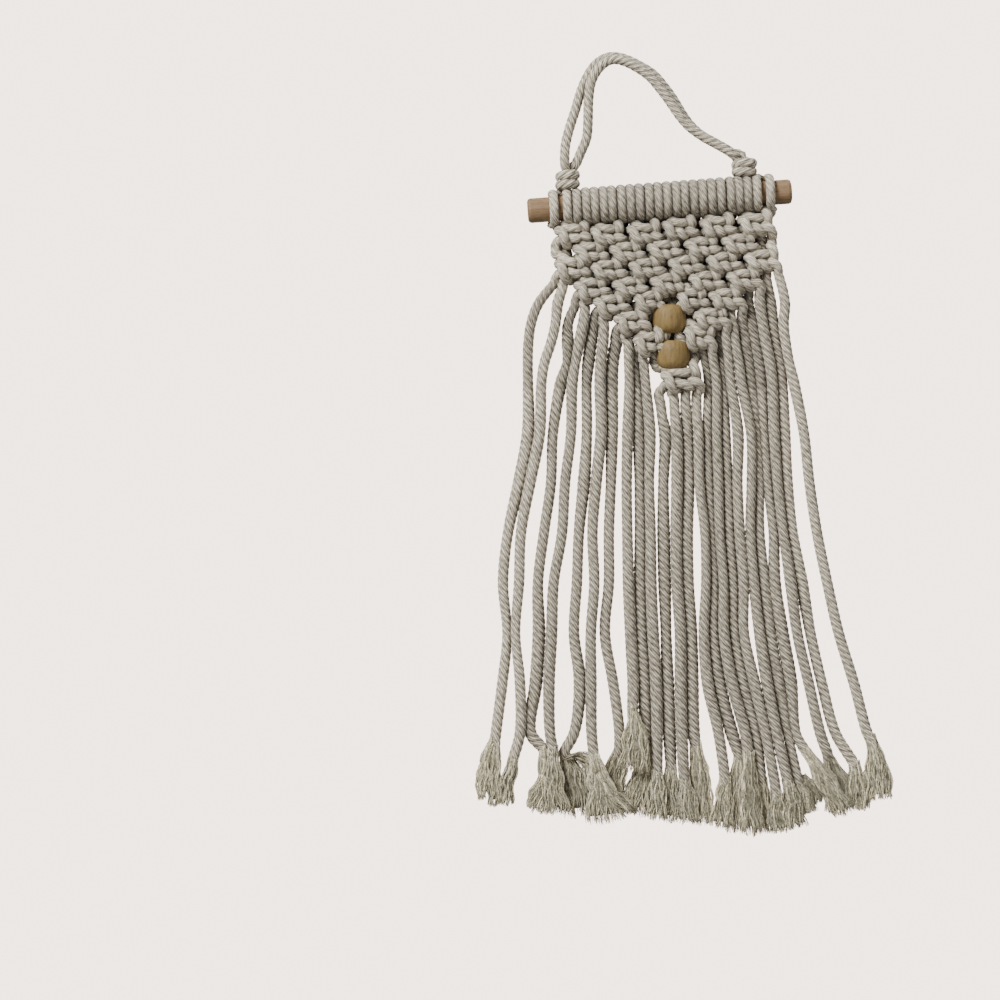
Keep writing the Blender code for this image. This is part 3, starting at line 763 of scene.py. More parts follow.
def near_pairs(place: Array, owner: Array, reach: float, apart: int, every: int = 1) -> Array:
    """Finds samples of cords that are near each other.

    Args:
        place: all samples.
        owner: the number of each sample's cord.
        reach: the greatest distance.
        apart: samples of one cord this many steps apart or fewer don't count.
        every: only every so many samples are looked for near each one.

    Returns:
        One row of samples, and one of the samples near them.
    """
    tree = kdtree.KDTree(len(place))
    for i in range(0, len(place), every):
        tree.insert(place[i], i)
    tree.balance()
    found = [(i, j) for i, point in enumerate(place) for _, j, _ in tree.find_range(point, reach)
             if owner[i] != owner[j] or abs(i - j) > apart]
    return np.array(found).T


@dataclass
class Rope:
    """Four-ply cord, laid so that its plies run down to the right on the front."""
    radius: float = CORD_RADIUS
    lay_length: float = 13.2
    step: float = 0.85
    samples: int = 12  # between two points of a route, before they are spaced evenly
    plies: int = PLIES
    ply_points: int = 5
    ply_centre: float = 0.58  # a ply's middle and half sizes, as shares of the radius
    ply_depth: float = 0.42
    ply_breadth: float = 0.50
    fullness: float = 0.55  # how far the grooves are filled towards a round cord
    pressed_fullness: float = 0.20
    pressed_relief: float = 0.45  # how much of the grooves' shade is left in a tight knot

    def profile(self) -> tuple[Array, Array]:
        """Works out the cord's outline, with its first point in a groove.

        Returns:
            The angles of its points, and their radii.
        """
        count = self.plies * self.ply_points
        angles = 2.0 * np.pi * np.arange(count) / count - np.pi / self.plies
        near = (angles + np.pi / self.plies) % (2.0 * np.pi / self.plies) - np.pi / self.plies
        c, d, e, f = self.ply_centre, np.cos(near), np.sin(near), self.ply_depth
        a = (d / f) ** 2 + (e / self.ply_breadth) ** 2
        b = c * d / f ** 2
        radii = (b + np.sqrt(b * b - a * ((c / f) ** 2 - 1.0))) / a
        return angles, (radii + (1.0 - radii) * self.fullness) * self.radius

    def sample(self, name: str, route: Route, tone: float = 1.0,
               strands: tuple[int, ...] = ()) -> Lay:
        """Samples a route at the cord's own step.

        Args:
            name: the piece's name.
            route: the centreline as laid out.
            tone: the cord's brightness against the others.
            strands: the numbers of the strands it holds.

        Returns:
            The sampled cord.
        """
        rows = catmull(np.array(route.bends), self.samples)
        return Lay(name, even_steps(rows, self.step), tone, strands)

    def sections(self, lay: Lay) -> tuple[Array, Array]:
        """Places the cord's outline along its centreline.

        Args:
            lay: the sampled cord.

        Returns:
            The outline's points at each sample, and the distance of each sample from the start.
        """
        place = lay.rows[:, PLACE]
        tangent = np.gradient(place, axis=0)
        tangent /= np.linalg.norm(tangent, axis=1)[:, None]
        normals = np.empty_like(tangent)
        start = np.array([0.0, 1.0, 0.0])
        for i, along in enumerate(tangent):
            start = start - along * start.dot(along)
            start /= np.linalg.norm(start)
            normals[i] = start
        sides = np.cross(tangent, normals)
        distance = distances(place)
        angles, radii = self.profile()
        turned = angles[None, :] - (2.0 * np.pi * distance / self.lay_length)[:, None]
        filled = self.pressed_fullness * lay.rows[:, PRESSED, None]
        radii = radii[None, :] + (self.radius - radii[None, :]) * filled
        offset = (np.cos(turned)[..., None] * normals[:, None, :]
                  + np.sin(turned)[..., None] * sides[:, None, :]) * radii[:, :, None]
        offset *= lay.rows[:, THICK, None, None]
        way = lay.rows[:, WAY]
        way = way / np.maximum(np.linalg.norm(way, axis=1), 1e-6)[:, None]
        pressed = (offset * way[:, None, :]).sum(axis=2, keepdims=True)
        offset += (lay.rows[:, FLAT, None, None] - 1.0) * pressed * way[:, None, :]
        return place[:, None, :] + offset, distance

    def build(self, lay: Lay, shade: Array, material: Material) -> Piece:
        """Skins a cord with closed ends and gives it its own coordinates along the plies.

        Args:
            lay: the sampled cord.
            shade: the painted shade, how much light reaches each point of each ring past the other
                cords.
            material: its finish.

        Returns:
            The finished piece.
        """
        points, distance = self.sections(lay)
        rings, count = points.shape[:2]
        faces, corners = tube_skin(count, distance)
        base = (rings - 1) * count
        faces += [(rings * count, (j + 1) % count, j) for j in range(count)]
        faces += [(rings * count + 1, base + j, base + (j + 1) % count) for j in range(count)]
        caps = np.tile([[0.5 / self.plies, 0.0]], (6 * count, 1))
        # Painted light and shade by height.
        shade = shade * np.interp(lay.rows[:, 2], *zip(*PAINTED_LIGHT_BY_HEIGHT))[:, None]
        relief = np.repeat(1.0 - (1.0 - self.pressed_relief) * lay.rows[:, PRESSED], count)
        return cotton_piece(
            lay.name, np.vstack([points.reshape(-1, 3), points[[0, -1]].mean(axis=1)]), faces,
            np.vstack([corners, caps]), material,
            tone=np.concatenate([shade.ravel(), shade[[0, -1]].mean(axis=1)]) * lay.tone,
            relief=np.concatenate([relief, relief[[0, -1]]]))


@dataclass
class PaintedShade:
    """Paints shade into the cotton's tone where other cords crowd round it, as between tight knots.
    """
    reach: float = 9.0
    own_reach: float = 6.0  # nearer parts of the same cord don't count
    weight: float = 0.72
    floor: float = 0.06
    every: int = 2  # only every second sample casts a shade
    batch: int = 40000
    inner: float = 0.75  # painted shade: how much darker the cords' sides that face into the knots are painted
    inner_depth: float = 3.0
    knotted_from: float = -78.0  # the heights between which there are knots
    knotted_to: float = -163.0

    def shade(self, lays: Sequence[Lay], rope: Rope) -> list[Array]:
        """Works out the painted shade: how much light reaches each point of each cord's skin.

        Args:
            lays: the settled cords.
            rope: how they are skinned.

        Returns:
            For each cord, one row of shares from 0 to 1 for each ring.
        """
        skin = np.concatenate([rope.sections(lay)[0] for lay in lays])
        rows, owner = gather(lays)
        place = rows[:, PLACE]
        half = rows[:, THICK] * rope.radius
        pairs = near_pairs(place, owner, self.reach, round(self.own_reach / rope.step), self.every)
        outward = skin - place[:, None, :]
        outward /= np.maximum(np.linalg.norm(outward, axis=2, keepdims=True), 1e-6)
        count = skin.shape[1]
        hidden = np.zeros(skin.shape[0] * count)
        for start in range(0, pairs.shape[1], self.batch):
            i, j = pairs[:, start:start + self.batch]
            gap = place[j][:, None, :] - skin[i]
            distance = np.maximum(np.linalg.norm(gap, axis=2), half[j][:, None])
            facing = np.maximum((gap * outward[i]).sum(axis=2), 0.0)
            area = 2.0 * half[j] * self.every * rope.step
            share = facing * area[:, None] / (math.pi * distance ** 3)
            index = i[:, None] * count + np.arange(count)[None, :]
            hidden += np.bincount(index.ravel(), share.ravel(), len(hidden))
        light = self.floor + (1.0 - self.floor) * np.exp(-self.weight * hidden)
        light = light.reshape(-1, count)
        # Painted shade on the cords' sides that face into the knots, on either face of the panel.
        inward = -outward[:, :, 1] * np.clip(place[:, 1] / self.inner_depth, -1.0, 1.0)[:, None]
        inward[(place[:, 2] > self.knotted_from) | (place[:, 2] < self.knotted_to)] = 0.0
        light *= 1.0 - self.inner * np.clip(inward, 0.0, 1.0)
        return deal_out(light, lays)


# ---- square knots --------------------------------------------------------------------------
class Role(Enum):
    """A strand's part in a square knot, from left to right."""
    LEFT_CARRIER = 0
    LEFT_CARRIED = 1
    RIGHT_CARRIED = 2
    RIGHT_CARRIER = 3


HOLE_EDGE = 6.0  # right of this, a turn shows in the hole beside its knot

# Each strand's way through a knot that is centred on its own origin: (x, y, z).
KNOT_WAYS: dict[Role, tuple[Point, ...]] = {
    # comes down on the left, crosses in front, turns at the right, crosses back in front
    Role.LEFT_CARRIER: (
        (-4.8, -0.2, 4.4), (-3.0, -3.2, 3.0), (-0.5, -4.5, 2.6), (2.2, -4.2, 2.5),
        (4.6, -1.0, 2.4), (7.8, 3.0, 3.2), (10.2, 3.8, 1.4), (9.6, 3.8, -1.6),
        (5.6, 0.4, -2.2), (3.1, -3.6, -2.8), (0.7, -4.6, -3.1), (-1.7, -3.4, -3.1),
        (-3.9, -0.4, -3.2), (-5.2, 0.8, -4.4),
    ),
    Role.LEFT_CARRIED: ((-2.2, 0.2, 3.6), (-2.2, 0.2, 0.0), (-2.2, 0.2, -3.6)),
    Role.RIGHT_CARRIED: ((2.2, 0.2, 3.6), (2.2, 0.2, 0.0), (2.2, 0.2, -3.6)),
    # comes down on the right over the first bar, crosses behind, shows as a bump on the left
    Role.RIGHT_CARRIER: (
        (4.6, -2.0, 5.2), (5.2, -3.8, 3.4), (5.0, -3.0, 1.2), (3.8, 1.2, 0.2),
        (1.4, 4.4, 0.6), (-1.7, 4.4, 1.8), (-4.6, 2.4, 3.2), (-5.3, -1.2, 3.2),
        (-4.9, -4.4, 1.4), (-4.2, -5.2, -0.6), (-3.3, -4.9, -2.8), (-2.2, -2.6, -5.0),
        (-0.8, 1.6, -5.2), (1.4, 4.2, -3.6), (3.2, 2.4, -2.0), (4.2, -1.6, -1.3),
        (5.6, -4.0, -1.9), (7.4, -2.8, -3.6),
    ),
}


class SquareKnot:
    """One square knot of the panel."""

    def __init__(self, knot: Knot) -> None:
        """Takes the knot's row of the table."""
        self.knot = knot

    def way(self, strand: int) -> Iterator[Point]:
        """Follows a strand through this knot.

        Args:
            strand: the strand's number.

        Yields:
            The points, from the top down.
        """
        turned = math.radians(self.knot.turned)
        cos, sin = math.cos(turned), math.sin(turned)
        for x, y, z in KNOT_WAYS[Role(strand - self.knot.first_strand)]:
            if x > HOLE_EDGE and y > 0.0:
                x = HOLE_EDGE + (x - HOLE_EDGE) * self.knot.reach
            x *= self.knot.width
            yield (self.knot.x + x * cos + z * sin, y, self.knot.z - x * sin + z * cos)


# ---- the cords of the panel ----------------------------------------------------------------
DOWEL_AXIS = (DOWEL_RIGHT - DOWEL_LEFT).normalized()


def dowel_height(x: float) -> float:
    """Returns the height of the dowel's axis at a place along it."""
    share = (x - DOWEL_LEFT.x) / (DOWEL_RIGHT.x - DOWEL_LEFT.x)
    return DOWEL_LEFT.z + share * (DOWEL_RIGHT.z - DOWEL_LEFT.z)


@dataclass
class Strands:
    """Lays out the twenty-four strands: turns, knots, free falls."""
    turn_radius: float = DOWEL_RADIUS + 1.95
    turn_flat: float = 0.7  # the cord's thickness on the dowel against its own
    turn_narrow: float = 0.86
    turn_pressed: float = 0.5
    turn_lean: float = 1.3  # how far a turn's foot lies right of its top
    turn_slant: float = 0.8  # the share of that on the dowel's front
    turn_foot: Point = (4.6, -8.6, 0.85)  # behind and above the axis, and how flat it is there
    # the bar behind: share of the way to its middle, behind the turn, above the axis, flattening
    bar: tuple[tuple[float, ...], ...] = (
        (1.0, 3.2, -2.6, 0.85), (0.35, 2.6, -1.0, 0.85), (0.0, 0.8, 2.2, 0.8))
    loose_pressed: float = 0.4  # how smooth the cords are pressed between two knots
    knot_thick: float = 0.90
    squeezed: float = 0.92  # the least and greatest thickness of cords that touch
    spread: float = 1.22  # the cords behind show as wide as those before them
    front_spread: float = 1.10
    apart: float = 1.15  # farther apart than this, in cord widths, they don't touch
    depth_step: float = 1.3  # neighbouring strands hang this far before and behind
    slack: float = 0.06  # how much thicker the cord has opened at its end
    fall_gap: float = 4.0  # the least height between the last knot and the fall
    tail: tuple[tuple[float, float], ...] = ((3.5, 0.92), (9.0, 0.50))  # into its brush

    def turn(self, route: Route, strand: int) -> None:
        """Adds a strand's turn: up behind the dowel, over it, down its front and under it.

        Args:
            route: the strand's route so far.
            strand: its number.
        """
        x = TURN_X[strand - 1]
        z = dowel_height(x)
        for degrees in range(60, 331, 30):
            angle = math.radians(degrees)
            out = (0.0, math.cos(angle), math.sin(angle))
            share = (degrees - 180) / 180.0
            route.go(x + self.turn_lean * share * self.turn_slant, out[1] * self.turn_radius,
                     z + out[2] * self.turn_radius, self.turn_narrow, self.turn_flat, out,
                     self.turn_pressed)

    def start(self, route: Route, strand: int) -> None:
        """Adds the half of the bar behind the dowel that joins a strand to its partner.

        Args:
            route: the strand's route so far.
            strand: its number.
        """
        x = TURN_X[strand - 1]
        partner = strand + 1 if strand % 2 else strand - 1
        middle = (x + TURN_X[partner - 1]) / 2.0
        for share, behind, up, flat in self.bar:
            route.go(x + share * (middle - x), self.turn_radius + behind, dowel_height(x) + up,
                     self.turn_narrow, flat)

    def knotted(self, route: Route, strand: int) -> None:
        """Adds a strand's way through its knots and the points between them.

        Args:
            route: the strand's route so far.
            strand: its number.
        """
        stops: list[tuple[float, list[Point]]] = []
        for knot in KNOTS:
            if 0 <= strand - knot.first_strand <= 3:
                stops.append((knot.z, list(SquareKnot(knot).way(strand))))
        stops += [(point[2], [point]) for point in PASSES.get(strand, ())]
        stops.sort(key=lambda stop: -stop[0])
        for _, way in stops:
            tight = len(way) > 1
            for point in way:
                route.go(*point, self.knot_thick if tight else 1.0,
                         pressed=1.0 if tight else self.loose_pressed)

    def fall(self, route: Route, strand: int) -> None:
        """Adds a strand's free length down to its combed-out end.

        Args:
            route: the strand's route so far.
            strand: its number.
        """
        y = self.depth_step if strand in BEHIND else -self.depth_step
        spread = self.spread if strand in BEHIND else self.front_spread
        low = route.bends[-1][2] - self.fall_gap
        for column, (x, z) in enumerate(zip(FALLS[strand], FALL_HEIGHTS)):
            if x is not None and z < low:
                share = (z - FALL_HEIGHTS[0]) / (FALL_HEIGHTS[-1] - FALL_HEIGHTS[0])
                room = self.room(strand, column) / (2.0 * CORD_RADIUS)
                thick = 1.0 + self.slack * share
                if room < self.apart * thick:
                    thick = min(spread * thick, max(self.squeezed, spread * room))
                route.go(x, y, z, thick)
        brush = next(row for row in BRUSHES if row.strand == strand)
        route.go(brush.top_x, y + 0.5 * brush.y, brush.top_z, 1.0 + self.slack)
        down = Vector((brush.mid_x - brush.top_x, 0.0, brush.mid_z - brush.top_z)).normalized()
        for along, thick in self.tail:
            route.go(brush.top_x + along * down.x, y + brush.y, brush.top_z + along * down.z, thick)

    def room(self, strand: int, column: int) -> float:
        """Reads how far away a strand's nearer neighbour hangs.

        Args:
            strand: the strand's number.
            column: the number of the height.

        Returns:
            The distance, or infinity where no neighbour hangs free.
        """
        others = [FALLS[near][column] for near in (strand - 1, strand + 1) if near in FALLS]
        own = FALLS[strand][column]
        return min((abs(own - x) for x in others if x is not None), default=math.inf)

    def half(self, strand: int) -> Route:
        """Lays out a strand from the bar behind the dowel to its end.

        Args:
            strand: the strand's number.

        Returns:
            Its route.
        """
        route = Route()
        if 3 <= strand <= STRANDS - 2:
            self.start(route, strand)
        self.turn(route, strand)
        x = TURN_X[strand - 1]
        behind, up, flat = self.turn_foot
        route.go(x + self.turn_lean, behind, dowel_height(x) + up, self.turn_narrow, flat)
        self.knotted(route, strand)
        self.fall(route, strand)
        return route


@dataclass
class LoopCords:
    """Lays out the two cords of the hanging loop, which end as the outer four strands."""
    foot_thick: float = 1.0
    loop_thick: float = 0.95
    core_thick: float = 0.8
    foot_depth: float = 3.2
    coil_points: int = 8  # in one turn of the coil
    coil_ends: float = 0.6  # its two turns don't rise or sink past this share of a pitch

    def foot(self, knot: FootKnot, wraps: bool) -> list[tuple[float, ...]]:
        """Leads a cord through a foot knot, from the top down.

        Args:
            knot: the foot knot.
            wraps: whether the cord coils round the other one there.

        Returns:
            The points, each with the cord's thickness.
        """
        if not wraps:
            return [(knot.x + x, y, knot.z + z, self.core_thick) for x, y, z in knot.core]
        tilt = math.radians(knot.tilt)
        points = []
        for i in range(2 * self.coil_points - 1):
            angle = math.pi * 0.5 - 2.0 * math.pi * i / self.coil_points
            across = math.cos(angle) * knot.half_width
            up = knot.pitch * max(-self.coil_ends, min(self.coil_ends, 1.0 - i / self.coil_points))
            points.append((knot.x + across * math.cos(tilt) + up * math.sin(tilt),
                           math.sin(angle) * self.foot_depth,
                           knot.z - across * math.sin(tilt) + up * math.cos(tilt),
                           self.foot_thick))
        return points

    def route(self, loop: Sequence[Point], left: int, right: int, wraps: bool,
              strands: Strands) -> Route:
        """Joins a left strand, one cord of the loop and a right strand.

        Args:
            loop: the cord's points from the left foot knot to the right one.
            left: the number of the strand at its left end.
            right: the number of the strand at its right end.
            wraps: whether this cord is the one that coils round the other at the feet.
            strands: how strands are laid out.

        Returns:
            The whole cord, from the left strand's end to the right one's.
        """
        whole = strands.half(left).reversed()
        for point in (*reversed(self.foot(LEFT_FOOT, wraps)),
                      *((*place, self.loop_thick) for place in loop),
                      *self.foot(RIGHT_FOOT, wraps)):
            whole.go(*point)
        whole.bends.extend(strands.half(right).bends)
        return whole


@dataclass
class Settling:
    """Presses touching cords apart until they lie on each other instead of in each other."""
    rounds: int = 5
    passes: int = 7
    closeness: float = 0.88  # cords bed into each other by the rest
    own_reach: float = 7.0  # nearer parts of the same cord don't count
    easing: float = 0.75  # the share of a push that is made at once
    hold: float = 0.10  # pull back to where a cord was laid out
    smoothing: float = 0.15
    flat_share: float = 0.65  # how much a cord's flattening counts when it is pressed
    free_below: float = -165.0  # below this the strands hang, and give less to the side
    free_ways: Point = (0.25, 1.0, 0.0)
    dowel_gap: float = 0.1
    bead_end: float = 2.6  # how much narrower a bead's ends are than its middle

    def clear_dowel(self, place: Array, half: Array) -> None:
        """Moves samples out of the dowel.

        Args:
            place: the samples, which are moved.
            half: half the cord's thickness at each.
        """
        start, axis = np.array(DOWEL_LEFT), np.array(DOWEL_AXIS)
        along = (place - start) @ axis
        out = place - start - along[:, None] * axis
        distance = np.maximum(np.linalg.norm(out, axis=1), 1e-6)
        short = DOWEL_RADIUS + self.dowel_gap + half - distance
        inside = (short > 0.0) & (along > 0.0) & (along < (DOWEL_RIGHT - DOWEL_LEFT).length)
        place[inside] += (out / distance[:, None] * short[:, None])[inside]

    def clear_beads(self, place: Array, half: Array, threaded: Array) -> None:
        """Moves samples out of the beads.

        Args:
            place: the samples, which are moved.
            half: half the cord's thickness at each.
            threaded: which of them are on a strand that runs through the beads.
        """
        for centre in BEAD_CENTRES:
            up = place[:, 2] - centre.z
            out = place[:, :2] - np.array((centre.x, centre.y))
            distance = np.maximum(np.linalg.norm(out, axis=1), 1e-6)
            share = np.clip(np.abs(up) / BEAD_HALF_HEIGHT, 0.0, 1.0)
            wall = BEAD_RADIUS - self.bead_end * (1.0 - np.sqrt(1.0 - share * share))
            short = wall + half - distance
            near = np.abs(up) < BEAD_HALF_HEIGHT + 0.4 * half
            inside = (short > 0.0) & near & ~threaded
            place[inside, :2] += (out / distance[:, None] * short[:, None])[inside]

    def settle(self, lays: Sequence[Lay], radius: float, step: float) -> None:
        """Moves the samples of all cords.

        Args:
            lays: the cords, which are changed.
            radius: the cord's radius.
            step: the distance between samples.
        """
        rows, owner = gather(lays)
        place, home = rows[:, PLACE], rows[:, PLACE].copy()
        half = rows[:, THICK] * radius * (1.0 - self.flat_share + self.flat_share * rows[:, FLAT])
        threaded = np.isin(owner, [i for i, lay in enumerate(lays)
                                   if set(THREADED) & set(lay.strands)])
        inner = np.zeros(len(place), bool)
        inner[1:-1] = (owner[1:-1] == owner[:-2]) & (owner[1:-1] == owner[2:])
        free = np.ones((len(place), 3))
        free[place[:, 2] < self.free_below] = self.free_ways
        for _ in range(self.rounds):
            pairs = near_pairs(place, owner, 2.0 * radius, round(self.own_reach / step))
            a, b = pairs[:, pairs[0] < pairs[1]]
            for _ in range(self.passes):
                gap = place[a] - place[b]
                distance = np.maximum(np.linalg.norm(gap, axis=1), 1e-6)
                want = (half[a] + half[b]) * self.closeness
                push = np.where(distance < want, (want - distance) / distance, 0.0)[:, None] * gap
                touching = (distance < want).astype(float)
                count = np.bincount(a, touching, len(place)) + np.bincount(b, touching, len(place))
                move = np.stack([
                    np.bincount(a, push[:, k], len(place)) - np.bincount(b, push[:, k], len(place))
                    for k in range(3)], axis=1)
                move *= self.easing / np.maximum(count, 1.0)[:, None]
                place += move * free
                middle = np.zeros_like(place)
                middle[1:-1] = (place[:-2] + place[2:]) / 2.0 - place[1:-1]
                place[inner] += self.smoothing * middle[inner]
                place += self.hold * (home - place)
                self.clear_dowel(place, half)
                self.clear_beads(place, half, threaded)
        for lay, settled in zip(lays, deal_out(place, lays)):
            lay.rows[:, PLACE] = settled


# ---- combed-out ends -----------------------------------------------------------------------
@dataclass
class Fray:
    """The brush at the end of a strand: wavy yarns and loose fibres round a matted core."""
    yarns: int = 52
    fibres: int = 96  # yarns and fibres together make the brush's hairs
    locks: int = 13
    bends: int = 12
    yarn_size: float = 0.46
    fibre_size: float = 0.22
    depth: float = 2.7
    roundness: float = 0.75  # how much thinner a brush is at its sides
    depth_swing: float = 0.4  # how much of a hair's swing is from front to back
    wave: float = 0.75  # sideways swing of a lock, and of one hair
    ripple: float = 0.24
    wave_length: float = 15.0
    ripple_length: float = 8.0
    side_scatter: float = 0.09  # how far a lock's hairs spread, against the half width
    starts: tuple[float, float] = (-0.10, 0.14)  # ranges of random draws, as shares
    lock_reach: tuple[float, float] = (0.975, 1.02)
    hair_reach: tuple[float, float] = (0.95, 1.025)
    lock_tones: tuple[float, float] = (0.72, 1.22)
    hair_tones: tuple[float, float] = (0.50, 1.42)
    corner_reach: float = 0.04  # how much shorter the outermost hairs are
    tip_tone: float = 1.40  # the sparse tips let the light through
    uv_step: float = 3.0  # the fibres' pattern along a hair, from bend to bend
    core_sides: int = 16
    core_reach: float = 0.90
    core_share: float = 0.90
    # painted shade: how much darker the matted core deep in the brush is painted
    core_painted_shade: float = 0.42

    def line(self, brush: Brush, share: Array) -> tuple[Array, Array, Array]:
        """Reads a brush's middle line.

        Args:
            brush: its row of the table.
            share: how far along it, from 0 at the top to 1 at the tips.

        Returns:
            The places as x and z, the directions across, and the half widths.
        """
        s = share[..., None]
        top, mid, tip = (np.array(pair) for pair in (
            (brush.top_x, brush.top_z), (brush.mid_x, brush.mid_z), (brush.tip_x, brush.tip_z)))
        place = top * (1 - s) * (1 - 2 * s) + mid * 4 * s * (1 - s) + tip * s * (2 * s - 1)
        down = top * (4 * s - 3) + mid * (4 - 8 * s) + tip * (4 * s - 1)
        down /= np.linalg.norm(down, axis=-1, keepdims=True)
        across = np.stack([-down[..., 1], down[..., 0]], axis=-1)
        ease = np.sin(np.clip(share, 0.0, 0.5) * np.pi) ** 2
        half = brush.top_half + (brush.mid_half - brush.top_half) * ease
        half += (brush.tip_half - brush.mid_half) * np.clip(share * 2.0 - 1.0, 0.0, 1.0)
        return place, across, half

    def thick(self, share: Array) -> Array:
        """Returns half the brush's depth from front to back."""
        return np.interp(share, (0.0, 0.35, 1.0), (2.6, self.depth, 0.8 * self.depth))

    def beside(self, place: Array, across: Array, offset: Array, depth: Array) -> Array:
        """Returns the points that lie beside places on the middle line, at a depth."""
        x, z = (place[..., i] + across[..., i] * offset for i in (0, 1))
        return np.stack([x, depth, z], axis=-1)

    def core(self, brush: Brush, y: float) -> tuple[Array, list, Array]:
        """Makes the matted core.

        Args:
            brush: its row of the table.
            y: how far behind the panel's middle it hangs.

        Returns:
            Its points, its faces and the place of their corners round and along it.
        """
        share = np.linspace(0.0, self.core_reach, self.bends)
        place, across, half = self.line(brush, share)
        angle = 2.0 * np.pi * np.arange(self.core_sides) / self.core_sides
        taper = np.sqrt(np.interp(share, (0.0, 0.75, self.core_reach), (1.0, 1.0, 0.25)))
        narrow = self.core_share * np.interp(share, (0.0, 0.3), (0.7, 1.0))
        side = np.cos(angle) * (half * narrow)[:, None]
        front = np.sin(angle) * (self.thick(share) * self.core_share * taper)[:, None]
        points = self.beside(place[:, None], across[:, None], side, y + front).reshape(-1, 3)
        faces, corners = tube_skin(self.core_sides, share * brush.length)
        ring = range(self.core_sides)
        last = len(points) - self.core_sides
        faces += [tuple(reversed(ring)), tuple(last + i for i in ring)]
        caps = np.tile([[0.5, 0.0]], (2 * self.core_sides, 1))
        return points, faces, np.vstack([corners, caps])

    def hairs(self, rng: np.random.Generator, brush: Brush, y: float) -> tuple[Array, Array]:
        """Draws all fibres of a brush.

        Args:
            rng: the brush's own random numbers.
            brush: its row of the table.
            y: how far behind the panel's middle it hangs.

        Returns:
            The fibres' points and their tones.
        """
        lock_place = (np.arange(self.locks) + rng.uniform(0.2, 0.8, self.locks)) / self.locks
        lock_phase = rng.uniform(0.0, 2.0 * np.pi, self.locks)
        lock_reach = rng.uniform(*self.lock_reach, self.locks)
        lock_tone = rng.uniform(*self.lock_tones, self.locks)
        hairs = self.yarns + self.fibres
        lock = rng.integers(self.locks, size=hairs)
        side = lock_place[lock] * 2.0 - 1.0 + rng.normal(0.0, self.side_scatter, hairs)
        side = np.clip(side, -1.0, 1.0)
        front = rng.uniform(-1.0, 1.0, hairs)
        start = rng.uniform(*self.starts, hairs)
        reach = lock_reach[lock] * rng.uniform(*self.hair_reach, hairs)
        reach -= self.corner_reach * side * side
        share = start[:, None] + (reach - start)[:, None] * np.linspace(0.0, 1.0, self.bends)
        place, across, half = self.line(brush, share)
        run = 2.0 * np.pi * share * brush.length
        swing = self.wave * np.sin(lock_phase[lock][:, None] + run / self.wave_length)
        swing += self.ripple * np.sin(rng.uniform(0.0, 6.28, hairs)[:, None]
                                      + run / self.ripple_length)
        swing *= np.clip(share * 2.5, 0.0, 1.0)
        bulge = np.sqrt(1.0 - self.roundness * side * side)[:, None] * self.thick(share)
        depth = y + (np.sign(front) * np.sqrt(np.abs(front)))[:, None] * bulge
        depth += self.depth_swing * swing
        points = self.beside(place, across, side[:, None] * half + swing, depth)
        # Painted shade: hairs that lie further back are painted darker.
        tone = brush.tone * lock_tone[lock] * (0.95 - 0.10 * front)
        return points, tone * rng.uniform(*self.hair_tones, hairs)

    def build(self, name: str, brush: Brush, y: float, material: Material) -> Piece:
        """Makes a brush as one mesh: its core and its three-sided fibres.

        Args:
            name: the piece's name.
            brush: its row of the table.
            y: how far behind the panel's middle it hangs.
            material: its finish.

        Returns:
            The finished piece.
        """
        rng = np.random.default_rng(round(100.0 + brush.strand + abs(brush.top_x)))
        core, faces, corners = self.core(brush, y)
        points, tones = self.hairs(rng, brush, y)
        hairs = len(points)
        size = np.where(np.arange(hairs) < self.yarns, self.yarn_size, self.fibre_size)[:, None]
        size = size * np.interp(np.arange(self.bends) / (self.bends - 1), (0.0, 0.6, 1.0),
                                (1.0, 1.0, 0.35))
        angle = 2.0 * np.pi * np.arange(3) / 3.0 + rng.uniform(0.0, 6.28, hairs)[:, None]
        ring = np.stack([np.cos(angle), np.sin(angle), np.zeros_like(angle)], axis=-1)
        skin = points[:, :, None, :] + ring[:, None, :, :] * size[:, :, None, None]
        grid = len(core) + np.arange(hairs * self.bends * 3).reshape(hairs, self.bends, 3)
        after = np.roll(grid, -1, axis=2)
        quads = np.stack([after[:, :-1], grid[:, :-1], grid[:, 1:], after[:, 1:]], axis=3)
        faces += quads.reshape(-1, 4).tolist() + grid[:, 0].tolist() + grid[:, -1, ::-1].tolist()
        across = (np.arange(hairs) + 0.5) / hairs
        run = self.uv_step * np.arange(self.bends)
        sides = np.empty((*quads.shape, 2))
        sides[..., 0] = across[:, None, None, None]
        sides[..., 1] = np.stack([run[:-1], run[:-1], run[1:], run[1:]], axis=1)[:, None, :]
        ends = np.zeros((6 * hairs, 2))
        ends[:, 0] = np.tile(np.repeat(across, 3), 2)
        lit = np.interp(np.linspace(0.0, 1.0, self.bends), (0.0, 0.72, 1.0),
                        (1.0, 1.0, self.tip_tone))
        tone = np.concatenate([np.full(len(core), brush.tone * self.core_painted_shade),
                               np.repeat(np.outer(tones, lit).ravel(), 3)])
        return cotton_piece(name, np.vstack([core, skin.reshape(-1, 3)]), faces,
                            np.vstack([corners, sides.reshape(-1, 2), ends]), material, tone=tone)


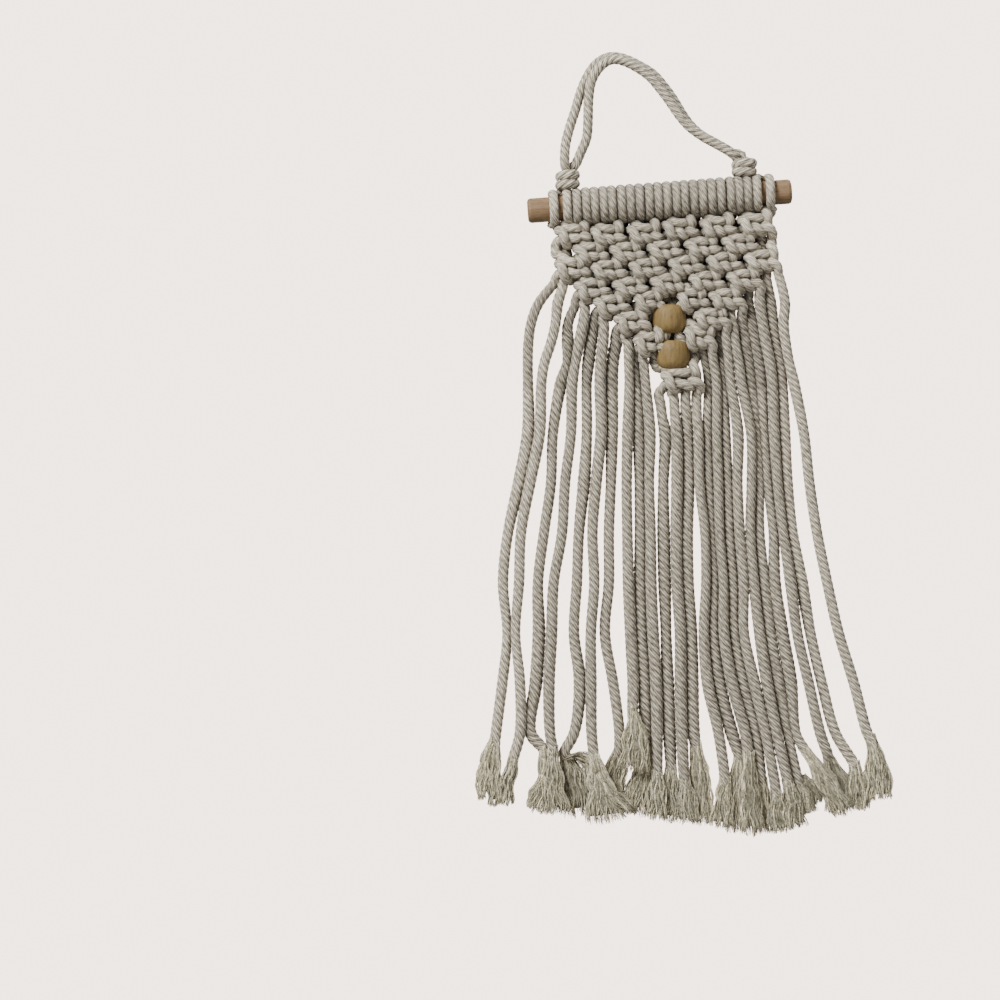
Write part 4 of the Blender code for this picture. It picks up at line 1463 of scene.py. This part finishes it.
# ---- the cotton work -----------------------------------------------------------------------
@dataclass
class CottonWork:
    """All cords and brushes, and the CAD nodes that they stand for."""
    rope: Rope = field(default_factory=Rope)
    strands: Strands = field(default_factory=Strands)
    loop: LoopCords = field(default_factory=LoopCords)
    settling: Settling = field(default_factory=Settling)
    painted_shade: PaintedShade = field(default_factory=PaintedShade)
    fray: Fray = field(default_factory=Fray)
    seed: int = 7
    tones: tuple[float, float] = (0.98, 1.06)  # the range of the strands' brightness
    # painted light: the loop cords are painted brighter, for the light on the loop at the top
    loop_painted_light: float = 1.32

    def lay_out(self) -> list[Lay]:
        """Lays out the twelve cords: ten folded over the dowel, and two that make the loop.

        Returns:
            The sampled cords.
        """
        rng = np.random.default_rng(self.seed)
        lays = []
        for strand in range(3, STRANDS - 2, 2):
            route = self.strands.half(strand).reversed()
            route.bends.extend(self.strands.half(strand + 1).bends[1:])
            lays.append(self.rope.sample(f"cord_{strand:02d}_{strand + 1:02d}", route,
                                         rng.uniform(*self.tones), (strand, strand + 1)))
        for name, loop, left, wraps in (("loop_cord_outer", LOOP_OUTER, 1, False),
                                        ("loop_cord_inner", LOOP_INNER, 2, True)):
            right = STRANDS + 1 - left
            route = self.loop.route(loop, left, right, wraps, self.strands)
            lays.append(self.rope.sample(name, route, self.loop_painted_light, (left, right)))
        return lays

    def build(self) -> None:
        """Builds and dresses every cord and brush."""
        group = cord_fibre_group()
        cotton = CottonFinish("cotton_cord", group).make()
        combed = CottonFinish("combed_cotton", group, light=(246, 236, 204), shade=(128, 121, 94),
                              groove_shade=0.0, yarn=0.0, lean=0.0, bump=0.3).make()
        lays = self.lay_out()
        self.settling.settle(lays, self.rope.radius, self.rope.step)
        for lay, shade in zip(lays, self.painted_shade.shade(lays, self.rope)):
            piece = self.rope.build(lay, shade, cotton)
            in_loop = ("hanging_loop",) if lay.name.startswith("loop") else ()
            seat(piece, Slot.COTTON, "macrame_panel", *in_loop)
            LOG.info("%s: %.0f mm, %d faces", piece.name, lay.length, len(piece.data.polygons))
        LOG.info("cord in all: %.2f m", sum(lay.length for lay in lays) * MM)
        for number, brush in enumerate(BRUSHES):
            y = self.strands.depth_step * (1 if brush.strand in BEHIND else -1) + brush.y
            own = number == 0 or BRUSHES[number - 1].strand != brush.strand
            name = f"brush_{brush.strand:02d}" if own else f"lock_{brush.strand:02d}"
            seat(self.fray.build(name, brush, y, combed), Slot.COTTON, "macrame_panel")
        LOG.info("%d brushes and locks of %d yarns and %d fibres", len(BRUSHES),
                 self.fray.yarns, self.fray.fibres)


# ---- wooden pieces -------------------------------------------------------------------------
@dataclass(frozen=True)
class Bead:
    """A barrel-shaped wooden bead, threaded from top to bottom."""
    node: str
    centre: Vector
    grain: Point  # how the grain is tilted, in radians
    radius: float = BEAD_RADIUS
    half_height: float = BEAD_HALF_HEIGHT
    shoulder: float = 4.0  # how much narrower the ends would be if fully rounded
    roundness: float = 0.96
    barrel: float = 2.5  # the higher, the straighter the middle
    bore: float = 3.4
    rim: float = 0.5
    segments: int = 72
    rings: int = 17
    edge_angle: float = 40.0  # sharper edges than this show as edges

    def width(self, up: float) -> float:
        """Returns the barrel's radius at a height from -1, its lower end, to 1, its upper one."""
        rounding = 1.0 - math.sqrt(1.0 - self.roundness * abs(up) ** self.barrel)
        return self.radius - self.shoulder * rounding

    def build(self) -> Piece:
        """Turns the bead from an open cylinder: a barrel, its end faces and its bore.

        Returns:
            The finished piece.
        """
        bpy.ops.object.select_all(action="DESELECT")
        bpy.ops.mesh.primitive_cylinder_add(
            vertices=self.segments, radius=self.radius * MM, depth=2.0 * self.half_height * MM,
            end_fill_type="NOTHING", location=self.centre * MM)
        piece = bpy.context.active_object
        piece.name = self.node.replace("bead", "turned_bead")
        piece.data.name = piece.name
        bpy.ops.object.transform_apply(location=True, rotation=True, scale=True)
        bpy.ops.object.mode_set(mode="EDIT")
        mesh = bmesh.from_edit_mesh(piece.data)
        for edge in mesh.edges:
            edge.select_set(abs(edge.verts[0].co.z - edge.verts[1].co.z) > self.half_height * MM)
        bmesh.update_edit_mesh(piece.data)
        bpy.ops.mesh.subdivide(number_cuts=self.rings)
        for ring in range(self.rings + 2):
            up = 2.0 * ring / (self.rings + 1) - 1.0
            share = self.width(up) / self.radius
            self.select_ring(piece, self.centre.z + up * self.half_height)
            bpy.ops.transform.resize(value=(share, share, 1.0), center_override=self.centre * MM)
        for side in (-1.0, 1.0):
            end = self.centre + Vector((0.0, 0.0, side * self.half_height))
            outer = self.width(side)
            self.select_ring(piece, end.z)
            for width, sink in ((self.bore + self.rim, 0.0), (self.bore, self.rim)):
                bpy.ops.mesh.extrude_region_move()
                share = width / outer
                bpy.ops.transform.resize(value=(share, share, 1.0), center_override=end * MM)
                bpy.ops.transform.translate(value=(0.0, 0.0, -side * sink * MM))
                outer = width
        for side in (-1.0, 1.0):
            self.select_ring(piece, self.centre.z + side * (self.half_height - self.rim),
                             side < 0.0, self.bore + 0.1)
        bpy.ops.mesh.bridge_edge_loops()
        bpy.ops.mesh.select_all(action="SELECT")
        bpy.ops.mesh.remove_doubles(threshold=0.01 * MM)
        bpy.ops.mesh.normals_make_consistent(inside=False)
        bpy.ops.object.mode_set(mode="OBJECT")
        bpy.ops.object.shade_smooth_by_angle(angle=math.radians(self.edge_angle))
        return piece

    def select_ring(self, piece: Piece, height: float, fresh: bool = True,
                    within: float = math.inf) -> None:
        """Selects the edge ring at a height.

        Args:
            piece: the bead, in edit mode.
            height: the ring's height.
            fresh: whether all else is deselected first.
            within: only edges nearer to the axis than this count.
        """
        if fresh:
            bpy.ops.mesh.select_all(action="DESELECT")
        mesh = bmesh.from_edit_mesh(piece.data)
        for edge in mesh.edges:
            if all(abs(v.co.z - height * MM) < 0.02 * MM
                   and (v.co.xy - self.centre.xy * MM).length < within * MM for v in edge.verts):
                edge.select_set(True)
        bmesh.update_edit_mesh(piece.data)


@dataclass
class WoodenPieces:
    """The dowel and the beads."""
    group: Tree
    beads: tuple[Bead, ...] = (Bead("bead_upper", BEAD_CENTRES[0], (0.1, 0.05, 0.0)),
                               Bead("bead_lower", BEAD_CENTRES[1], (-0.06, 0.12, 0.9)))

    def build(self) -> None:
        """Makes the beads and gives the CAD dowel its wood."""
        low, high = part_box("dowel")
        middle = (low + high) / 2.0
        tilt = math.atan2(DOWEL_AXIS.z, DOWEL_AXIS.x)
        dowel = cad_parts["dowel"]
        dowel.data.materials.clear()
        dowel.data.materials.append(WoodFinish(
            Slot.DOWEL_WOOD.value, self.group, (168, 138, 104), (126, 100, 72), tuple(middle),
            (0.0, math.pi / 2.0 - tilt, 0.0), across=420.0, along=45.0, pores=0.5).make())
        dowel.data.shade_smooth()
        LOG.info("dowel keeps its CAD shape")
        for bead in self.beads:
            piece = bead.build()
            piece.data.materials.append(WoodFinish(
                piece.name + "_wood", self.group, (162, 136, 87), (118, 95, 55),
                tuple(bead.centre * MM), bead.grain, across=640.0, along=70.0, pores=0.4).make())
            seat(piece, Slot.BEAD_WOOD, bead.node)
            LOG.info("%s: %d faces", piece.name, len(piece.data.polygons))


# ---- studio --------------------------------------------------------------------------------
@dataclass
class Studio:
    """Pale backdrop, soft light and the camera, in metres."""
    view_centre: tuple[float, float] = (-0.057, -0.2185)
    view_width: float = 0.5
    lens: float = 100.0
    sensor: float = 36.0
    ground: Colour = (4.45, 3.75, 3.25)  # light that shows as the photo's pale ground
    ambient: float = 0.28
    # each light's name, place, power and size
    lamps: tuple[tuple[str, Point, float, float], ...] = (
        ("key", (-0.85, -0.95, 0.85), 37.5, 0.6), ("fill", (1.0, -1.3, 0.2), 3.0, 1.2),
        ("back", (0.5, 1.3, 0.7), 14.0, 1.2))
    wall_size: float = 6.0
    wall_place: Point = (0.0, 1.6, -0.2)
    aim: Point = (0.03, 0.0, -0.19)

    def build(self) -> None:
        """Makes the backdrop, the lights and the camera."""
        self.backdrop()
        self.lights()
        self.camera()

    def backdrop(self) -> None:
        """Makes one pale sheet behind the hanging, which neither shades nor lights it."""
        bpy.ops.object.select_all(action="DESELECT")
        bpy.ops.mesh.primitive_plane_add(size=self.wall_size, location=self.wall_place,
                                         rotation=(math.pi / 2.0, 0.0, 0.0))
        wall = bpy.context.active_object
        wall.name = "backdrop"
        bpy.ops.object.transform_apply(location=True, rotation=True, scale=True)
        material, _, shader = plain_material("backdrop_paint")
        set_inputs(shader, {"Base Color": BLACK, "Specular IOR Level": 0.0,
                            "Emission Color": (*self.ground, 1.0), "Emission Strength": 1.0})
        wall.data.materials.append(material)
        wall.visible_diffuse = False
        wall.visible_glossy = False
        wall.visible_shadow = False

    def lights(self) -> None:
        """Adds a soft light from the upper left, weak ones on the right and behind, and the room."""
        for name, place, power, size in self.lamps:
            data = bpy.data.lights.new(name, "AREA")
            data.energy = power
            data.size = size
            light = bpy.data.objects.new(name, data)
            light.location = place
            way = Vector(self.aim) - Vector(place)
            light.rotation_euler = way.to_track_quat("-Z", "Y").to_euler()
            bpy.context.scene.collection.objects.link(light)
        world = bpy.data.worlds.new("room")
        world.use_nodes = True
        n = Nodes(world.node_tree)
        background = world.node_tree.nodes["Background"]
        seen = n.add("LightPath").outputs["Is Camera Ray"]
        room = (self.ambient, self.ambient, self.ambient, 1.0)
        n.join(n.mix(seen, room, (*self.ground, 1.0)), background.inputs["Color"])
        bpy.context.scene.world = world

    def camera(self) -> None:
        """Adds the camera, face on."""
        data = bpy.data.cameras.new("camera")
        data.lens = self.lens
        data.sensor_width = self.sensor
        camera = bpy.data.objects.new("camera", data)
        distance = self.view_width * self.lens / self.sensor
        camera.location = (self.view_centre[0], -distance, self.view_centre[1])
        camera.rotation_euler = (math.pi / 2.0, 0.0, 0.0)
        bpy.context.scene.collection.objects.link(camera)
        bpy.context.scene.camera = camera


def main() -> None:
    """Builds every sub-assembly in order."""
    logging.basicConfig(level=logging.INFO, format="%(message)s")
    CottonWork().build()
    WoodenPieces(wood_grain_group()).build()
    Studio().build()


if __name__ == "__main__":
    main()
